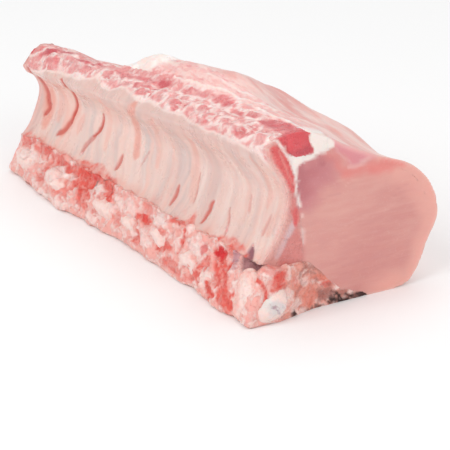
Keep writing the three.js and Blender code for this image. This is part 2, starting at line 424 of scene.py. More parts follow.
class Nodes:
    def __init__(self, tree):
        self.tree = tree

    def add(self, kind, **values):
        node = self.tree.nodes.new(kind)
        for key, value in values.items():
            setattr(node, key, value)
        return node

    def plug(self, socket, value):
        if isinstance(value, bpy.types.NodeSocket):
            self.tree.links.new(value, socket)
        elif isinstance(value, str):
            socket.default_value = tint(value)
        else:
            socket.default_value = value

    def mix(self, factor, first, second):
        node = self.add("ShaderNodeMix", data_type="RGBA")
        self.plug(node.inputs[0], factor)
        self.plug(node.inputs[6], first)
        self.plug(node.inputs[7], second)
        return node.outputs[2]

    def math(self, kind, first, second):
        node = self.add("ShaderNodeMath", operation=kind)
        self.plug(node.inputs[0], first)
        self.plug(node.inputs[1], second)
        return node.outputs[0]

    # from 0 at low to 1 at high, with soft ends
    def spread(self, value, low, high):
        node = self.add("ShaderNodeMapRange", interpolation_type="SMOOTHSTEP")
        for socket, given in zip(node.inputs, (value, low, high)):
            self.plug(socket, given)
        return node.outputs[0]

    def noise(self, vector, scale, detail=3.0, rough=0.55, warp=0.0):
        node = self.add("ShaderNodeTexNoise")
        self.plug(node.inputs["Vector"], vector)
        self.plug(node.inputs["Scale"], scale)
        node.inputs["Detail"].default_value = detail
        node.inputs["Roughness"].default_value = rough
        node.inputs["Distortion"].default_value = warp
        return node.outputs[0]

    def place(self, stretch=(1, 1, 1), turn=(0, 0, 0)):
        coords = self.add("ShaderNodeTexCoord")
        mapping = self.add("ShaderNodeMapping")
        self.plug(mapping.inputs["Vector"], coords.outputs["Object"])
        mapping.inputs["Rotation"].default_value = turn
        mapping.inputs["Scale"].default_value = stretch
        return mapping.outputs[0]

    # a painted mask, or a share of it
    def mask(self, name, share=1.0):
        value = self.add("ShaderNodeAttribute", attribute_name=name).outputs["Fac"]
        return value if share == 1 else self.math("MULTIPLY", value, share)

    def group(self, tree, **values):
        node = self.add("ShaderNodeGroup")
        node.node_tree = tree
        for name, value in values.items():
            self.plug(node.inputs[name], value)
        return node.outputs


def newGroup(name, inputs, outputs):
    tree = bpy.data.node_groups.new(name, "ShaderNodeTree")
    for label, kind, value in inputs:
        socket = tree.interface.new_socket(label, in_out="INPUT", socket_type=kind)
        if value is not None:
            socket.default_value = value
    for label, kind in outputs:
        tree.interface.new_socket(label, in_out="OUTPUT", socket_type=kind)
    nodes = Nodes(tree)
    return nodes, nodes.add("NodeGroupInput").outputs, nodes.add("NodeGroupOutput").inputs


colourAndHeight = [("Colour", "NodeSocketColor"), ("Height", "NodeSocketFloat")]


# Inputs for a position and for painted masks
def maskSockets(names):
    return [("Position", "NodeSocketVector", None)] + [(name, "NodeSocketFloat", 0.0) for name in names]


# Muscle fibre: long fine streaks along one direction of a stretched position, with a height for the bump
def makeFibre():
    n, given, out = newGroup(
        "meatFibre",
        [
            ("Position", "NodeSocketVector", None),
            ("Scale", "NodeSocketFloat", 400.0),
            ("Strength", "NodeSocketFloat", 1.0),
        ],
        [("Streaks", "NodeSocketFloat"), ("Height", "NodeSocketFloat")],
    )
    broad = n.noise(given["Position"], given["Scale"], 3, 0.6, 0.3)
    fine = n.noise(given["Position"], n.math("MULTIPLY", given["Scale"], 3.1), 2, 0.5)
    both = n.math("ADD", n.math("MULTIPLY", broad, 0.65), n.math("MULTIPLY", fine, 0.35))
    n.plug(out["Streaks"], n.math("MULTIPLY", n.spread(both, 0.38, 0.64), given["Strength"]))
    n.plug(out["Height"], n.math("MULTIPLY", both, given["Strength"]))
    return n.tree


# Two tones broken into each other in ragged patches
def makeMottle():
    n, given, out = newGroup(
        "rawMottle",
        [
            ("Position", "NodeSocketVector", None),
            ("Base", "NodeSocketColor", (1, 1, 1, 1)),
            ("Patch", "NodeSocketColor", (0, 0, 0, 1)),
            ("Scale", "NodeSocketFloat", 120.0),
            ("Level", "NodeSocketFloat", 0.5),
            ("Softness", "NodeSocketFloat", 0.08),
        ],
        [("Colour", "NodeSocketColor"), ("Patches", "NodeSocketFloat")],
    )
    rough = n.noise(given["Position"], given["Scale"], 5, 0.62, 0.5)
    low = n.math("SUBTRACT", given["Level"], given["Softness"])
    high = n.math("ADD", given["Level"], given["Softness"])
    patches = n.spread(rough, low, high)
    n.plug(out["Colour"], n.mix(patches, given["Base"], given["Patch"]))
    n.plug(out["Patches"], patches)
    return n.tree


# Moisture: roughness that changes in films and beads
def makeMoisture():
    n, given, out = newGroup(
        "moisture",
        [
            ("Position", "NodeSocketVector", None),
            ("Wet", "NodeSocketFloat", 0.25),
            ("Dry", "NodeSocketFloat", 0.5),
            ("Scale", "NodeSocketFloat", 90.0),
        ],
        [("Roughness", "NodeSocketFloat")],
    )
    film = n.spread(n.noise(given["Position"], given["Scale"], 4, 0.6), 0.4, 0.6)
    span = n.math("SUBTRACT", given["Dry"], given["Wet"])
    n.plug(out["Roughness"], n.math("ADD", given["Wet"], n.math("MULTIPLY", film, span)))
    return n.tree


fibre, mottle, moisture = makeFibre(), makeMottle(), makeMoisture()


def fibres(n, place, scale, strength=1.0):
    return n.group(fibre, Position=place, Scale=scale, Strength=strength)


def patched(n, place, base, patch, scale, level=0.5, softness=0.12):
    values = {"Base": base, "Patch": patch, "Scale": scale, "Level": level, "Softness": softness}
    return n.group(mottle, Position=place, **values)


def moistened(n, shader, place, wet, dry, scale):
    film = n.group(moisture, Position=place, Wet=wet, Dry=dry, Scale=scale)
    n.plug(shader.inputs["Roughness"], film["Roughness"])


def newMaterial(name, soak=0.12, sheen=0.35):
    material = bpy.data.materials.new(name)
    material.use_nodes = True
    n = Nodes(material.node_tree)
    shader = material.node_tree.nodes["Principled BSDF"]
    shader.inputs["Subsurface Weight"].default_value = soak
    shader.inputs["Subsurface Radius"].default_value = (1.0, 0.3, 0.2)
    shader.inputs["Subsurface Scale"].default_value = 0.003
    shader.inputs["Specular IOR Level"].default_value = sheen
    return material, n, shader


def bumped(n, shader, height, distance, strength=1.0):
    bump = n.add("ShaderNodeBump")
    n.plug(bump.inputs["Height"], height)
    bump.inputs["Distance"].default_value = distance * 0.001
    bump.inputs["Strength"].default_value = strength
    n.plug(shader.inputs["Normal"], bump.outputs["Normal"])


# Sawn rib ends and red muscle that show along the ridge, as seen from above: centre (x, y), radii, redness
ridgeMarks = {
    "calm": ("e99c99", "fadcd6", "d97a7d"),
    "raw": ("e27d7e", "f5c3be", "cb5560"),
    "rim": "fbe3dd",
    "deep": "cc4f58",
    "blobs": [
        ((25.5, 18.5), (9, 4.5), 0.75),
        ((4, 24), (4, 5), 0.8),
        ((38, 25), (6, 3), 0.6),
        ((64, 20.5), (8, 3.5), 0.65),
        ((50, 22), (5, 3), 0.4),
        ((84, 23.5), (6, 4), 0.9),
        ((52, 19.5), (6, 3), 0.6),
        ((140, 21), (6, 3), 0.6),
        ((118, 29), (6, 2.5), 0.55),
        ((106, 22), (4, 3), 0.5),
        ((96, 18.8), (7, 3.5), 0.6),
        ((115, 24.3), (4.5, 3), 0.9),
        ((126, 20.5), (8, 4), 0.8),
        ((138, 25.5), (4, 3.5), 0.6),
        ((161, 21), (8, 4.5), 0.85),
        ((158, 27), (4, 2.5), 0.6),
        ((153, 33.8), (8, 3), 0.7),
        ((163, 36), (8, 3), 0.7),
        ((178, 36.5), (9, 3.5), 0.85),
        ((187, 35.5), (7, 3.5), 0.9),
        ((180, 25.8), (6, 3.5), 0.7),
        ((194, 20.5), (7, 4), 0.75),
        ((206, 21.4), (4, 3), 0.7),
        ((199, 32.4), (6, 2.2), 0.7),
        ((212, 34), (8, 3.5), 0.8),
        ((229, 23), (5, 3), 0.8),
        ((226.5, 18), (9, 4), 0.85),
        ((246, 16.5), (5, 3), 0.5),
    ],
    "streaks": [
        ([(11, 20.5), (19, 26), (26, 32)], 4.0, 1.0),
        ([(47, 26.4), (59, 27.5), (68, 31)], 3.0, 0.8),
        ([(83, 30.5), (93, 29), (102, 28.7)], 3.2, 0.9),
        ([(103, 32), (115, 31.2), (124, 32), (131, 34.8)], 3.6, 0.9),
        ([(119, 26), (130, 26.3)], 2.4, 0.8),
    ],
    # the deepest reds
    "deeps": [
        ((16, 24.5), (8, 3.6), 1.0),
        ((26, 30), (8, 3.6), 0.9),
        ((50, 27), (7, 2.6), 0.8),
        ((44, 22), (3, 2), 0.5),
        ((62, 28.5), (5, 2), 0.8),
        ((87, 30), (3, 1.6), 0.7),
        ((95.7, 25.7), (2.6, 1.3), 0.7),
        ((113, 24.5), (2.4, 2), 0.7),
        ((129, 26.3), (3.6, 1.3), 0.8),
        ((127, 33.3), (6, 2.6), 0.9),
        ((162, 21), (2.4, 2.4), 0.5),
        ((186, 35.8), (4, 2), 0.5),
        ((205, 31.9), (3, 1.6), 0.6),
        ((213, 33.5), (3.5, 1.6), 0.6),
    ],
    # the cap muscle's lobe, rising from the ridge: an outline of (x, y)
    "lobe": [
        (222, 29), (227, 36), (235, 39.5), (246, 39), (262, 38), (262, 22.5), (252, 24), (244, 26),
        (233, 27),
    ],
}


ridgeMasks = ("ridgeRed", "ridgeRim", "ridgeDeep")


def ridgeTone(drawn):
    flat, marks = drawn[:, :2], ridgeMarks
    lobe = region(flat, marks["lobe"], 1.2, 0.8, 9) * ramp(drawn[:, 2], 84, 90) * ramp(drawn[:, 0], 215, 222)
    lobeDeep = lobe * (0.35 + 0.5 * cloud(drawn * [0.35, 1, 1], 4, 14))
    red = np.maximum(blots(flat, marks["blobs"], 0.4, 11), strokes(flat, marks["streaks"])) * (1 - lobe)
    wide = [(at, (size[0] + 3, size[1] + 2.2), 1) for at, size, _ in marks["blobs"]]
    return {
        "ridgeRed": np.maximum(red, lobe),
        "ridgeRim": np.clip(blots(flat, wide, 0.3, 12) - 1.3 * red, 0, 1) * (1 - lobe),
        "ridgeDeep": np.maximum(blots(flat, marks["deeps"], 0.4, 13), lobeDeep),
    }


# Sawn meat and marrow: red flesh broken by pale flecks, with a few deep red ones
def makeRaw():
    n, given, out = newGroup(
        "rawFlecks",
        [
            ("Position", "NodeSocketVector", None),
            ("Flesh", "NodeSocketColor", (0.8, 0.3, 0.3, 1)),
            ("Pale", "NodeSocketColor", (1, 0.8, 0.8, 1)),
            ("Deep", "NodeSocketColor", (0.5, 0.1, 0.1, 1)),
            ("Scale", "NodeSocketFloat", 300.0),
            ("Paleness", "NodeSocketFloat", 0.5),
        ],
        colourAndHeight,
    )
    broad = n.noise(given["Position"], given["Scale"], 6, 0.6, 0.4)
    fine = n.noise(given["Position"], n.math("MULTIPLY", given["Scale"], 2.3), 4, 0.6, 0.2)
    pale = n.math("MULTIPLY", n.spread(broad, 0.44, 0.62), given["Paleness"])
    deep = n.math("MULTIPLY", n.spread(fine, 0.52, 0.68), 0.55)
    colour = n.mix(deep, given["Flesh"], given["Deep"])
    n.plug(out["Colour"], n.mix(pale, colour, given["Pale"]))
    n.plug(out["Height"], n.math("SUBTRACT", n.math("MULTIPLY", pale, 0.8), n.math("MULTIPLY", deep, 0.6)))
    return n.tree


rawFlecks = makeRaw()


def flecks(n, place, flesh, pale, deep, scale, paleness):
    values = {"Flesh": flesh, "Pale": pale, "Deep": deep, "Scale": scale, "Paleness": paleness}
    return n.group(rawFlecks, Position=place, **values)


# The sawn ridge: pale pink meat, redder lobes with pale rims, and a few deep reds
def makeRidgeColours():
    marks = ridgeMarks
    n, given, out = newGroup("ridgeColours", maskSockets(ridgeMasks), colourAndHeight)
    calm = flecks(n, given["Position"], *marks["calm"], 230.0, 0.72)
    raw = flecks(n, given["Position"], *marks["raw"], 250.0, 0.5)
    colour = n.mix(given["ridgeRim"], calm["Colour"], marks["rim"])
    colour = n.mix(given["ridgeRed"], colour, raw["Colour"])
    n.plug(out["Colour"], n.mix(n.math("MULTIPLY", given["ridgeDeep"], 0.9), colour, marks["deep"]))
    n.plug(out["Height"], raw["Height"])
    return n.tree


ridgeColours = makeRidgeColours()


def ridgeOf(n, place):
    return n.group(ridgeColours, Position=place, **{name: n.mask(name) for name in ridgeMasks})


# The picture on the cut faces, as outlines and strokes in (y, z); every piece that reaches a cut face
# takes its share of it
cutFace = {
    "meat": "dc9d95",
    "low": "d28d87",
    "light": "e6b2a7",
    "dusk": "ca8687",
    "purple": "c6777f",
    "deepPurple": "b9696f",
    "red": "e67c77",
    "rim": "eeaca0",
    "white": "f7e9e2",
    "line": "f7e2dc",
    "lens": "e08f96",
    "lensTop": "eaa5a8",
    "strip": "e0605f",
    "stripPale": "f0a199",
    "stripLow": "dc827c",
    "muscle": "d7807b",
    "silver": "dcbcbe",
    "edge": "f2c9c0",
    "cap": "dd555b",
    "capShade": "c04a55",
    # how strongly each is laid on, from the lowest to the topmost
    "shares": {
        "rim": 1.0,
        "red": 0.7,
        "purple": 0.75,
        "deepPurple": 0.7,
        "muscle": 0.8,
        "stripLow": 0.9,
        "silver": 0.9,
        "strip": 1.0,
        "stripPale": 0.6,
        "lens": 0.9,
        "lensTop": 0.8,
        "white": 1.0,
        "line": 0.9,
        "edge": 0.8,
        "cap": 1.0,
        "capShade": 0.7,
    },
    # outline, soft edge, wobble
    "outlines": {
        "white": ([
            (35, 99), (43, 95), (51, 91.5), (52.5, 88.5), (48.6, 85.9), (43, 84), (38, 82.6), (33.6, 81.6),
            (31, 80.2), (29.6, 76), (28.2, 76), (27, 79.5), (25.8, 83.5), (24.5, 89), (24, 93),
        ], 0.7, 0.5),
        "purple": ([
            (27, 83), (38, 84), (47, 83), (55, 77), (54, 70), (47, 66), (43, 60), (36, 54), (29, 58),
            (27, 72),
        ], 6.5, 2.5),
        "deepPurple": ([
            (27, 82), (38, 83), (47, 83), (49, 78), (43, 75), (38, 72), (38, 66), (34, 62), (28, 64),
        ], 4.5, 2.5),
        "red": ([
            (40, 86), (48, 88), (54, 84), (60, 79), (67, 77.5), (76, 78), (86, 76), (96, 70), (86, 68),
            (74, 70), (62, 71), (54, 77), (46, 82),
        ], 3.6, 2.0),
        "lens": ([
            (50, 93), (60, 91), (71, 86), (79.5, 80.5), (71, 77.5), (65, 76.4), (59, 82.4), (53.6, 86.6),
        ], 2.2, 1.0),
        "strip": ([
            (12.6, 90.2), (16, 93.2), (19.8, 92), (24, 87), (26.2, 82), (27.6, 77), (29.2, 72),
            (28.6, 66.5), (26.3, 68), (22.9, 74), (19.3, 79.3), (15.6, 85),
        ], 0.8, 0.4),
        "cap": ([
            (19.6, 95.5), (22.4, 91), (25.4, 87.4), (29, 85.8), (34, 85.2), (38.4, 85.2), (39.6, 87.4),
            (37.4, 91), (36.6, 94), (37.5, 99), (32, 103), (24, 102), (19, 99),
        ], 0.6, 0.4),
        "muscle": ([
            (28.5, 52), (31.5, 47), (33.6, 38), (34.2, 30), (29, 26), (21.5, 27.5), (20, 35), (24, 41.5),
        ], 1.8, 1.2),
    },
    "strokes": {
        "line": [
            ([(29.3, 79), (29.2, 74), (30, 65.5), (31.6, 60), (33, 57)], 1.3, 1.0),
            ([(33, 57), (34, 50), (34, 42), (35, 34)], 0.8, 0.5),
            ([(17, 98), (20.3, 92.8), (24.2, 87), (27, 83)], 1.6, 0.9),
            ([(52.5, 89), (56.4, 84), (61.6, 80.2), (65.2, 76)], 0.9, 0.14),
            ([(62, 76.4), (68, 76.2), (75, 79.6)], 2.2, 0.28),
        ],
        "stripLow": [([(27.4, 70), (27.6, 62), (28.6, 55)], 3.6, 0.9)],
        "stripRed": [([(29.6, 57), (30, 53), (29.6, 49)], 2.8, 1.0)],
        "stripPale": [
            ([(19, 91), (22, 84), (24.5, 78), (27.4, 71)], 1.0, 0.7), ([(15, 90), (18, 84)], 0.9, 0.4),
        ],
        "silver": [
            ([(29, 51), (26.8, 46.5), (24.4, 42.6)], 2.8, 1.0),
            ([(24, 42), (21.5, 37.5), (19, 33)], 2.6, 0.7),
        ],
        "light": [
            ([(52, 67), (56, 70), (61, 70.5)], 0.8, 0.9),
            ([(60, 66), (64, 68.5), (70, 69)], 0.7, 0.8),
            ([(60, 43), (72, 46), (86, 46)], 0.9, 0.5),
            ([(44, 41), (58, 44), (74, 45)], 0.8, 0.35),
            ([(70, 57), (84, 61), (98, 61)], 0.8, 0.35),
            ([(50, 32), (66, 36), (80, 36)], 0.8, 0.35),
        ],
        "dark": [
            ([(90, 56), (100, 58), (108, 58)], 0.7, 0.7),
            ([(84, 51), (94, 54), (104, 54)], 0.7, 0.4),
            ([(58, 21), (76, 22), (88, 21)], 0.9, 0.5),
            ([(72, 29), (86, 31)], 0.8, 0.35),
            ([(44, 59), (52, 62), (58, 63)], 0.9, 0.5),
            ([(56, 73), (66, 74), (76, 72)], 0.8, 0.3),
        ],
    },
}
cutMasks = ("low", "light", "dark", *cutFace["shares"])


def cutPicture(drawn, shown=None):
    shown = facing(drawn[:, 0]) > 0 if shown is None else shown
    masks = {name: np.zeros(len(drawn)) for name in cutMasks}
    for name, values in picture(drawn[shown, 1:]).items():
        masks[name][shown] = values
    return masks


def picture(cut):
    points = np.column_stack([0 * cut[:, 0], cut])
    masks = {name: region(cut, *spec, 3) for name, spec in cutFace["outlines"].items()}
    drawnOn = {name: strokes(cut, items) for name, items in cutFace["strokes"].items()}
    away = nearest(points, outerLines)[1]
    rim = (1 - ramp(away + 3 * cloud(points, 14, 8), 0, 19)) * ramp(cut[:, 0], 66, 92)
    streaky = cloud(points * [1, 0.1, 1], 2.0, 9, 2)
    broad, fine = cloud(points * [1, 0.6, 1.4], 15, 10), cloud(points * [1, 0.5, 1], 3.5, 12, 2)
    mottled = 0.18 * streaky + 0.3 * broad + 0.2 * fine
    masks["strip"] = np.maximum(masks["strip"], drawnOn["stripRed"])
    masks["rim"] = rim
    masks["low"] = ramp(cut[:, 0] - cut[:, 1], -8, 60) * (1 - rim) * 0.8
    masks["light"] = np.maximum(np.clip(mottled, 0, 1), drawnOn["light"])
    masks["dark"] = np.maximum(np.clip(-mottled, 0, 1), drawnOn["dark"])
    masks["deepPurple"] *= 0.75 + 0.7 * cloud(points, 8, 13, 3)
    masks["red"] *= 0.9 + 0.4 * cloud(points, 9, 14, 3)
    masks["lensTop"] = masks["lens"] * (1 - ramp(away, 1.0, 3.2))
    skin = np.exp(-((away / 1.1) ** 2)) * ramp(cut[:, 0], 48, 56) * 0.7
    masks["edge"] = skin + (1 - ramp(nearest(points, pleuraLine)[1], 0.3, 1.6)) * 0.7
    masks["capShade"] = masks["cap"] * (1 - ramp(cut[:, 1] - 0.2 * (cut[:, 0] - 30), 86.5, 91))
    for name in ("line", "stripLow", "stripPale", "silver"):
        masks[name] = drawnOn[name]
    return {name: masks[name] for name in cutMasks}


def makeCutColours():
    spec = cutFace
    n, given, out = newGroup("cutColours", maskSockets(cutMasks), colourAndHeight)
    stretched = n.add("ShaderNodeMapping")
    n.plug(stretched.inputs["Vector"], given["Position"])
    stretched.inputs["Rotation"].default_value = (0.06, 0, 0)
    stretched.inputs["Scale"].default_value = (1, 0.12, 1)
    grain = fibres(n, stretched.outputs[0], 480.0)
    specks = n.spread(n.noise(given["Position"], 900.0, 2, 0.5), 0.6, 0.72)
    colour = n.mix(given["low"], spec["meat"], spec["low"])
    colour = n.mix(n.math("MULTIPLY", grain["Streaks"], 0.16), colour, spec["light"])
    colour = n.mix(n.math("MULTIPLY", given["light"], 0.6), colour, spec["light"])
    colour = n.mix(n.math("MULTIPLY", given["dark"], 0.6), colour, spec["dusk"])
    for name, share in spec["shares"].items():
        colour = n.mix(n.math("MULTIPLY", given[name], share), colour, spec[name])
    colour = n.mix(n.math("MULTIPLY", specks, 0.07), colour, spec["line"])
    n.plug(out["Colour"], colour)
    n.plug(out["Height"], grain["Height"])
    return n.tree


cutColours = makeCutColours()


def cutOf(n, whole):
    return n.group(cutColours, Position=whole, **{name: n.mask(name) for name in cutMasks})


# The ribs, whose sawn ends show in the ridge
ribEnds = {
    "voxel": 0.8,
    "moisture": (0.3, 0.52, 200.0),
    "sink": 2.2,
    "spread": 1.55,
    "lean": (-1, 2, 0, 2, 3, 4, 9, 2),
    "marrow": "e27e7e",
    "shell": "fae2dc",
    "deep": "c9545d",
    "mid": "eeb0ab",
}

# The mouth of the canal at the near end, in (x, z), which the lining and the backbone share
canalMouth = [
    (241.8, 37), (240.2, 32), (241.5, 27.5), (246, 25), (250.5, 23.5), (253.5, 25.5), (252.5, 29.5),
    (248.5, 31.5), (245, 35),
]


def canalAt(drawn, depth):
    inside = region(drawn[:, [0, 2]], canalMouth, 1.0, 0.5, 65)
    return inside * ramp(drawn[:, 0], 236, 240) * (1 - ramp(drawn[:, 1], 16, depth))


# The hollow side: a wet lining over meat and ribs, up to the sawn ridge
lining = {
    "voxel": 0.9,
    "moisture": (0.26, 0.46, 120.0),
    "ribSwell": 0.8,
    "ribHalfWidth": 8.0,
    "cream": "edd0c6",
    "grey": "ccbfbc",
    "dusk": "c39994",
    "veil": "f6e6df",
    # painted shade: a darker tone on the upward-facing shelf under the brow, where the top light falls
    # strongest
    "shade": "d3aea6",
    "rosy": "f0b9ab",
    "flush": "e8907c",
    "slit": "cb584b",
    # the canal's mouth: partly its own darker tissue colour, partly painted shade in the hole
    "mouth": "98606a",
    "lip": "f9e2dc",
    "blood": "e4685c",
    "bloodDeep": "c9454a",
    # where the rough ridge meets the lining: x, and height plus 0.9 of the depth behind the brow
    "lipLine": (
        (
            0, 8, 21, 28, 35, 42, 52, 64, 70, 76, 82, 91, 98, 103, 109, 120, 128, 136, 146, 155, 164, 170,
            182, 191, 202, 212, 222, 233, 241, 248, 252, 258,
        ),
        (
            93.6, 91, 92.7, 95.8, 97.5, 98.5, 98, 97.8, 100.6, 104, 101.5, 98.6, 98.4, 102.5, 104, 101,
            97.8, 100.3, 100.1, 97.8, 98.1, 99.7, 97.4, 95.9, 94.6, 95.3, 93.6, 92.1, 91.2, 91.2, 88, 86,
        ),
    ),
    # cuts: path as (x, z) on the hollow side, width, redness, depth
    "slits": [
        ([(5, 95), (5, 84), (6, 72), (11, 60), (15, 53), (12, 48)], 3.6, 0.9, 0.6),
        ([(45, 92), (47, 86), (46, 78), (44, 62), (42, 51)], 2.8, 1.0, 0.8),
        ([(43, 53), (39, 46), (34, 40)], 3.0, 0.85, 0.7),
        ([(75.6, 66), (74, 56), (69, 49)], 2.0, 0.95, 0.8),
        ([(71, 50), (66, 43), (64, 37)], 2.6, 0.6, 0.5),
        ([(103, 46.5), (102, 38)], 2.0, 0.75, 0.6),
        ([(164, 46), (163, 36.5)], 2.0, 0.8, 0.6),
        ([(197, 46), (195, 35)], 2.3, 0.85, 0.7),
        ([(177, 57), (181, 41)], 1.3, 0.45, 0.4),
        ([(212, 47), (218, 34)], 1.4, 0.5, 0.6),
        ([(226, 58), (228, 49)], 1.5, 0.3, 0.3),
        ([(247, 52), (246, 43)], 2.2, 0.4, 0.4),
        ([(128, 56), (124, 46)], 1.4, 0.3, 0.3),
    ],
    # soft flushes of blood under the lining
    "flushes": [
        ([(128, 92), (114, 72), (115, 50)], 6, 0.75),
        ([(113, 66), (117, 50)], 3, 0.6),
        ([(6, 80), (14, 60), (16, 44)], 11, 0.8),
        ([(28, 86), (30, 70), (30, 50)], 7, 0.45),
        ([(49, 88), (46, 62), (38, 42)], 6, 0.45),
        ([(54, 58), (52, 48)], 6, 0.4),
        ([(88, 86), (83, 66), (84, 45)], 4, 0.3),
        ([(145, 88), (136, 70), (138, 50)], 4, 0.3),
        ([(176, 80), (172, 60), (178, 42)], 5, 0.3),
        ([(238, 84), (243, 70), (242, 56)], 4, 0.35),
        ([(252, 74), (253, 58), (250, 44)], 5, 0.35),
    ],
    # how high the blood climbs from the backbone: x, z
    "bloodLine": (
        (
            0, 12, 30, 50, 62, 80, 88, 96, 108, 114, 140, 147, 155, 170, 183, 186, 190, 194, 206, 212, 222,
            232, 240, 246, 258,
        ),
        (
            33, 35, 34, 33, 34, 35.5, 37, 35, 34.5, 31, 30.5, 32.5, 30, 31, 33, 38, 36, 31, 31.5, 34.5,
            36.5, 36.5, 34, 30.5, 29,
        ),
    ),
}


# Where the ribs show through the lining
def ribBands(x, z):
    bands = np.zeros(len(x))
    for place in ribPlaces:
        lean = (z - 60) * 0.0006 * (place - 125)
        bands = np.maximum(bands, np.exp(-np.abs((x - place - 3 - lean) / lining["ribHalfWidth"]) ** 3))
    return bands * ramp(z, 33, 48)


# Long soft streaks that hang down the lining
def curtain(along, height, size, seed, octaves=2):
    return cloud(np.stack([along, 0 * along, height], 1), size, seed, octaves)


def makeWall():
    spec = lining
    nodes = ["rib_wall"] + [f"rib_{i + 1}" for i in range(len(ribPlaces))]
    wall = skinOver("ribWall", nodes, spec["voxel"], 0.25)
    placed = softened(wall, pointsOf(wall), 2)
    drawn = straighten(placed)
    pleura, gap = nearest(drawn, pleuraLine)
    inner = (gap < 2.8) & (drawn[:, 2] < 92)
    drawn[:, 1:] = np.where(inner[:, None], pleura, drawn[:, 1:])
    movePoints(wall, settle(drawn))
    placed, drawn, hug = trued(wall, 1.1, 2)
    face = facing(drawn[:, 0])
    brow = np.exp(-(((drawn[:, 2] - 91) / 6) ** 2)) * (1 - ramp(drawn[:, 1], 17, 21)) * (1 - face)
    placed = softened(wall, placed, 14, brow)
    movePoints(wall, placed)
    x, y, z = drawn.T
    gap = nearest(drawn, pleuraLine)[1]
    hollow = np.maximum(1 - ramp(gap, 0.8, 2.2), ramp(z, 86, 90) * (1 - ramp(y, 24, 27))) * (1 - face)
    flat = drawn[:, [0, 2]]

    overBrow = z + 0.9 * (y - 13)
    lipAt = np.interp(x, *spec["lipLine"]) + 0.9 * cloud(drawn * [1, 0.4, 0.4], 5, 3, 2)
    ridge = ramp(overBrow - lipAt, -0.9, 0.9) * (1 - face) * (1 - ramp(gap, 12, 14) * (1 - ramp(z, 80, 86)))
    wander = flat + np.stack([cloud(drawn, 6, 5), cloud(drawn, 6, 6)], 1) * 0.8
    slits, depth = np.zeros(len(x)), np.zeros(len(x))
    for path, width, redness, deep in spec["slits"]:
        on = stroke(wander, path, width) * hollow
        slits, depth = np.maximum(slits, on * redness), np.maximum(depth, on * deep)
    swayed = x + (4.5 * cloud(drawn * [0.6, 0, 1], 26, 7, 1) + 1.6 * cloud(drawn * [1, 0, 1], 9, 8, 2))
    streak = curtain(swayed, 0.09 * z, 4.6, 11, 3)
    broad = curtain(swayed, 0.15 * z, 9, 15)
    fine = curtain(swayed, 0.06 * z, 2.0, 19)
    bands = ribBands(x, z)
    climb = np.interp(x, *spec["bloodLine"]) + 1.6 * cloud(drawn, 7, 17)
    climb += cloud(drawn * [1, 0.4, 0.4], 2.5, 18)
    mouth = canalAt(drawn, 18)
    relief = spec["ribSwell"] * bands + 0.12 * streak + 0.25 * broad - depth
    rise = -1.2 * mouth + hollow * (1 - ridge) * relief
    movePoints(wall, placed + normalsOf(wall) * (rise * (1 - hug))[:, None])
    placed = pointsOf(wall)
    placed[:, 2] += sawnTop(drawn) * (1 - face) * (1 - 0.7 * brow)
    placed += settle(handled(drawn)) - settle(drawn)
    movePoints(wall, placed)

    flush = strokes(wander, spec["flushes"]) * hollow
    foot = hollow * 0.4 * (1 - ramp(z, 31, 40)) * (0.6 + cloud(drawn, 6, 33))
    grey = hollow * np.clip(0.35 * bands + 0.4 * fine + 0.3 * streak + 0.55 * broad + 0.1, 0, 1)
    grey = grey * (1 - 0.35 * ramp(z, 86, 94)) * np.clip(0.85 + 0.6 * curtain(x, z, 24, 43), 0, 1)
    farDusk = (1 - ramp(x, 3, 14)) * (0.7 + 0.5 * streak)
    nearDusk = ramp(x, 110, 180) * (1 - ramp(x, 236, 250)) * (0.2 + 0.14 * streak)
    veil = np.clip(0.9 * curtain(swayed + 0.12 * z, 0.07 * z, 2.6, 41) - 0.1, 0, 1)
    # painted shade on the shelf under the brow, darker to hold back the strong top light there
    shade = hollow * ramp(z, 80, 89) * (1 - ramp(overBrow - lipAt, -2.2, -0.2)) * (0.85 + 0.4 * streak)
    blood = (1 - ramp(z - climb, -1.6, 1.0)) * (1 - ramp(gap, 3, 5)) * (1 - face)
    paint(
        wall,
        grey=grey,
        shade=shade,
        dusk=hollow * np.clip(farDusk + nearDusk, 0, 1),
        rosy=hollow * np.clip(0.5 * curtain(swayed + 50, 0.12 * z, 5, 31), 0, 1),
        flush=np.maximum(flush, foot),
        slit=slits,
        # canal mouth, partly painted shade in the hole
        mouth=mouth,
        veil=hollow * veil * ramp(x, 90, 150) * 0.5,
        lip=np.exp(-(((overBrow - lipAt + 0.9) / 1.2) ** 2)) * hollow,
        ridge=ridge,
        face=face,
        blood=blood * np.clip(0.75 + 0.5 * cloud(drawn, 4, 16), 0, 1),
        **ridgeTone(drawn),
        **cutPicture(drawn),
    )
    return wall


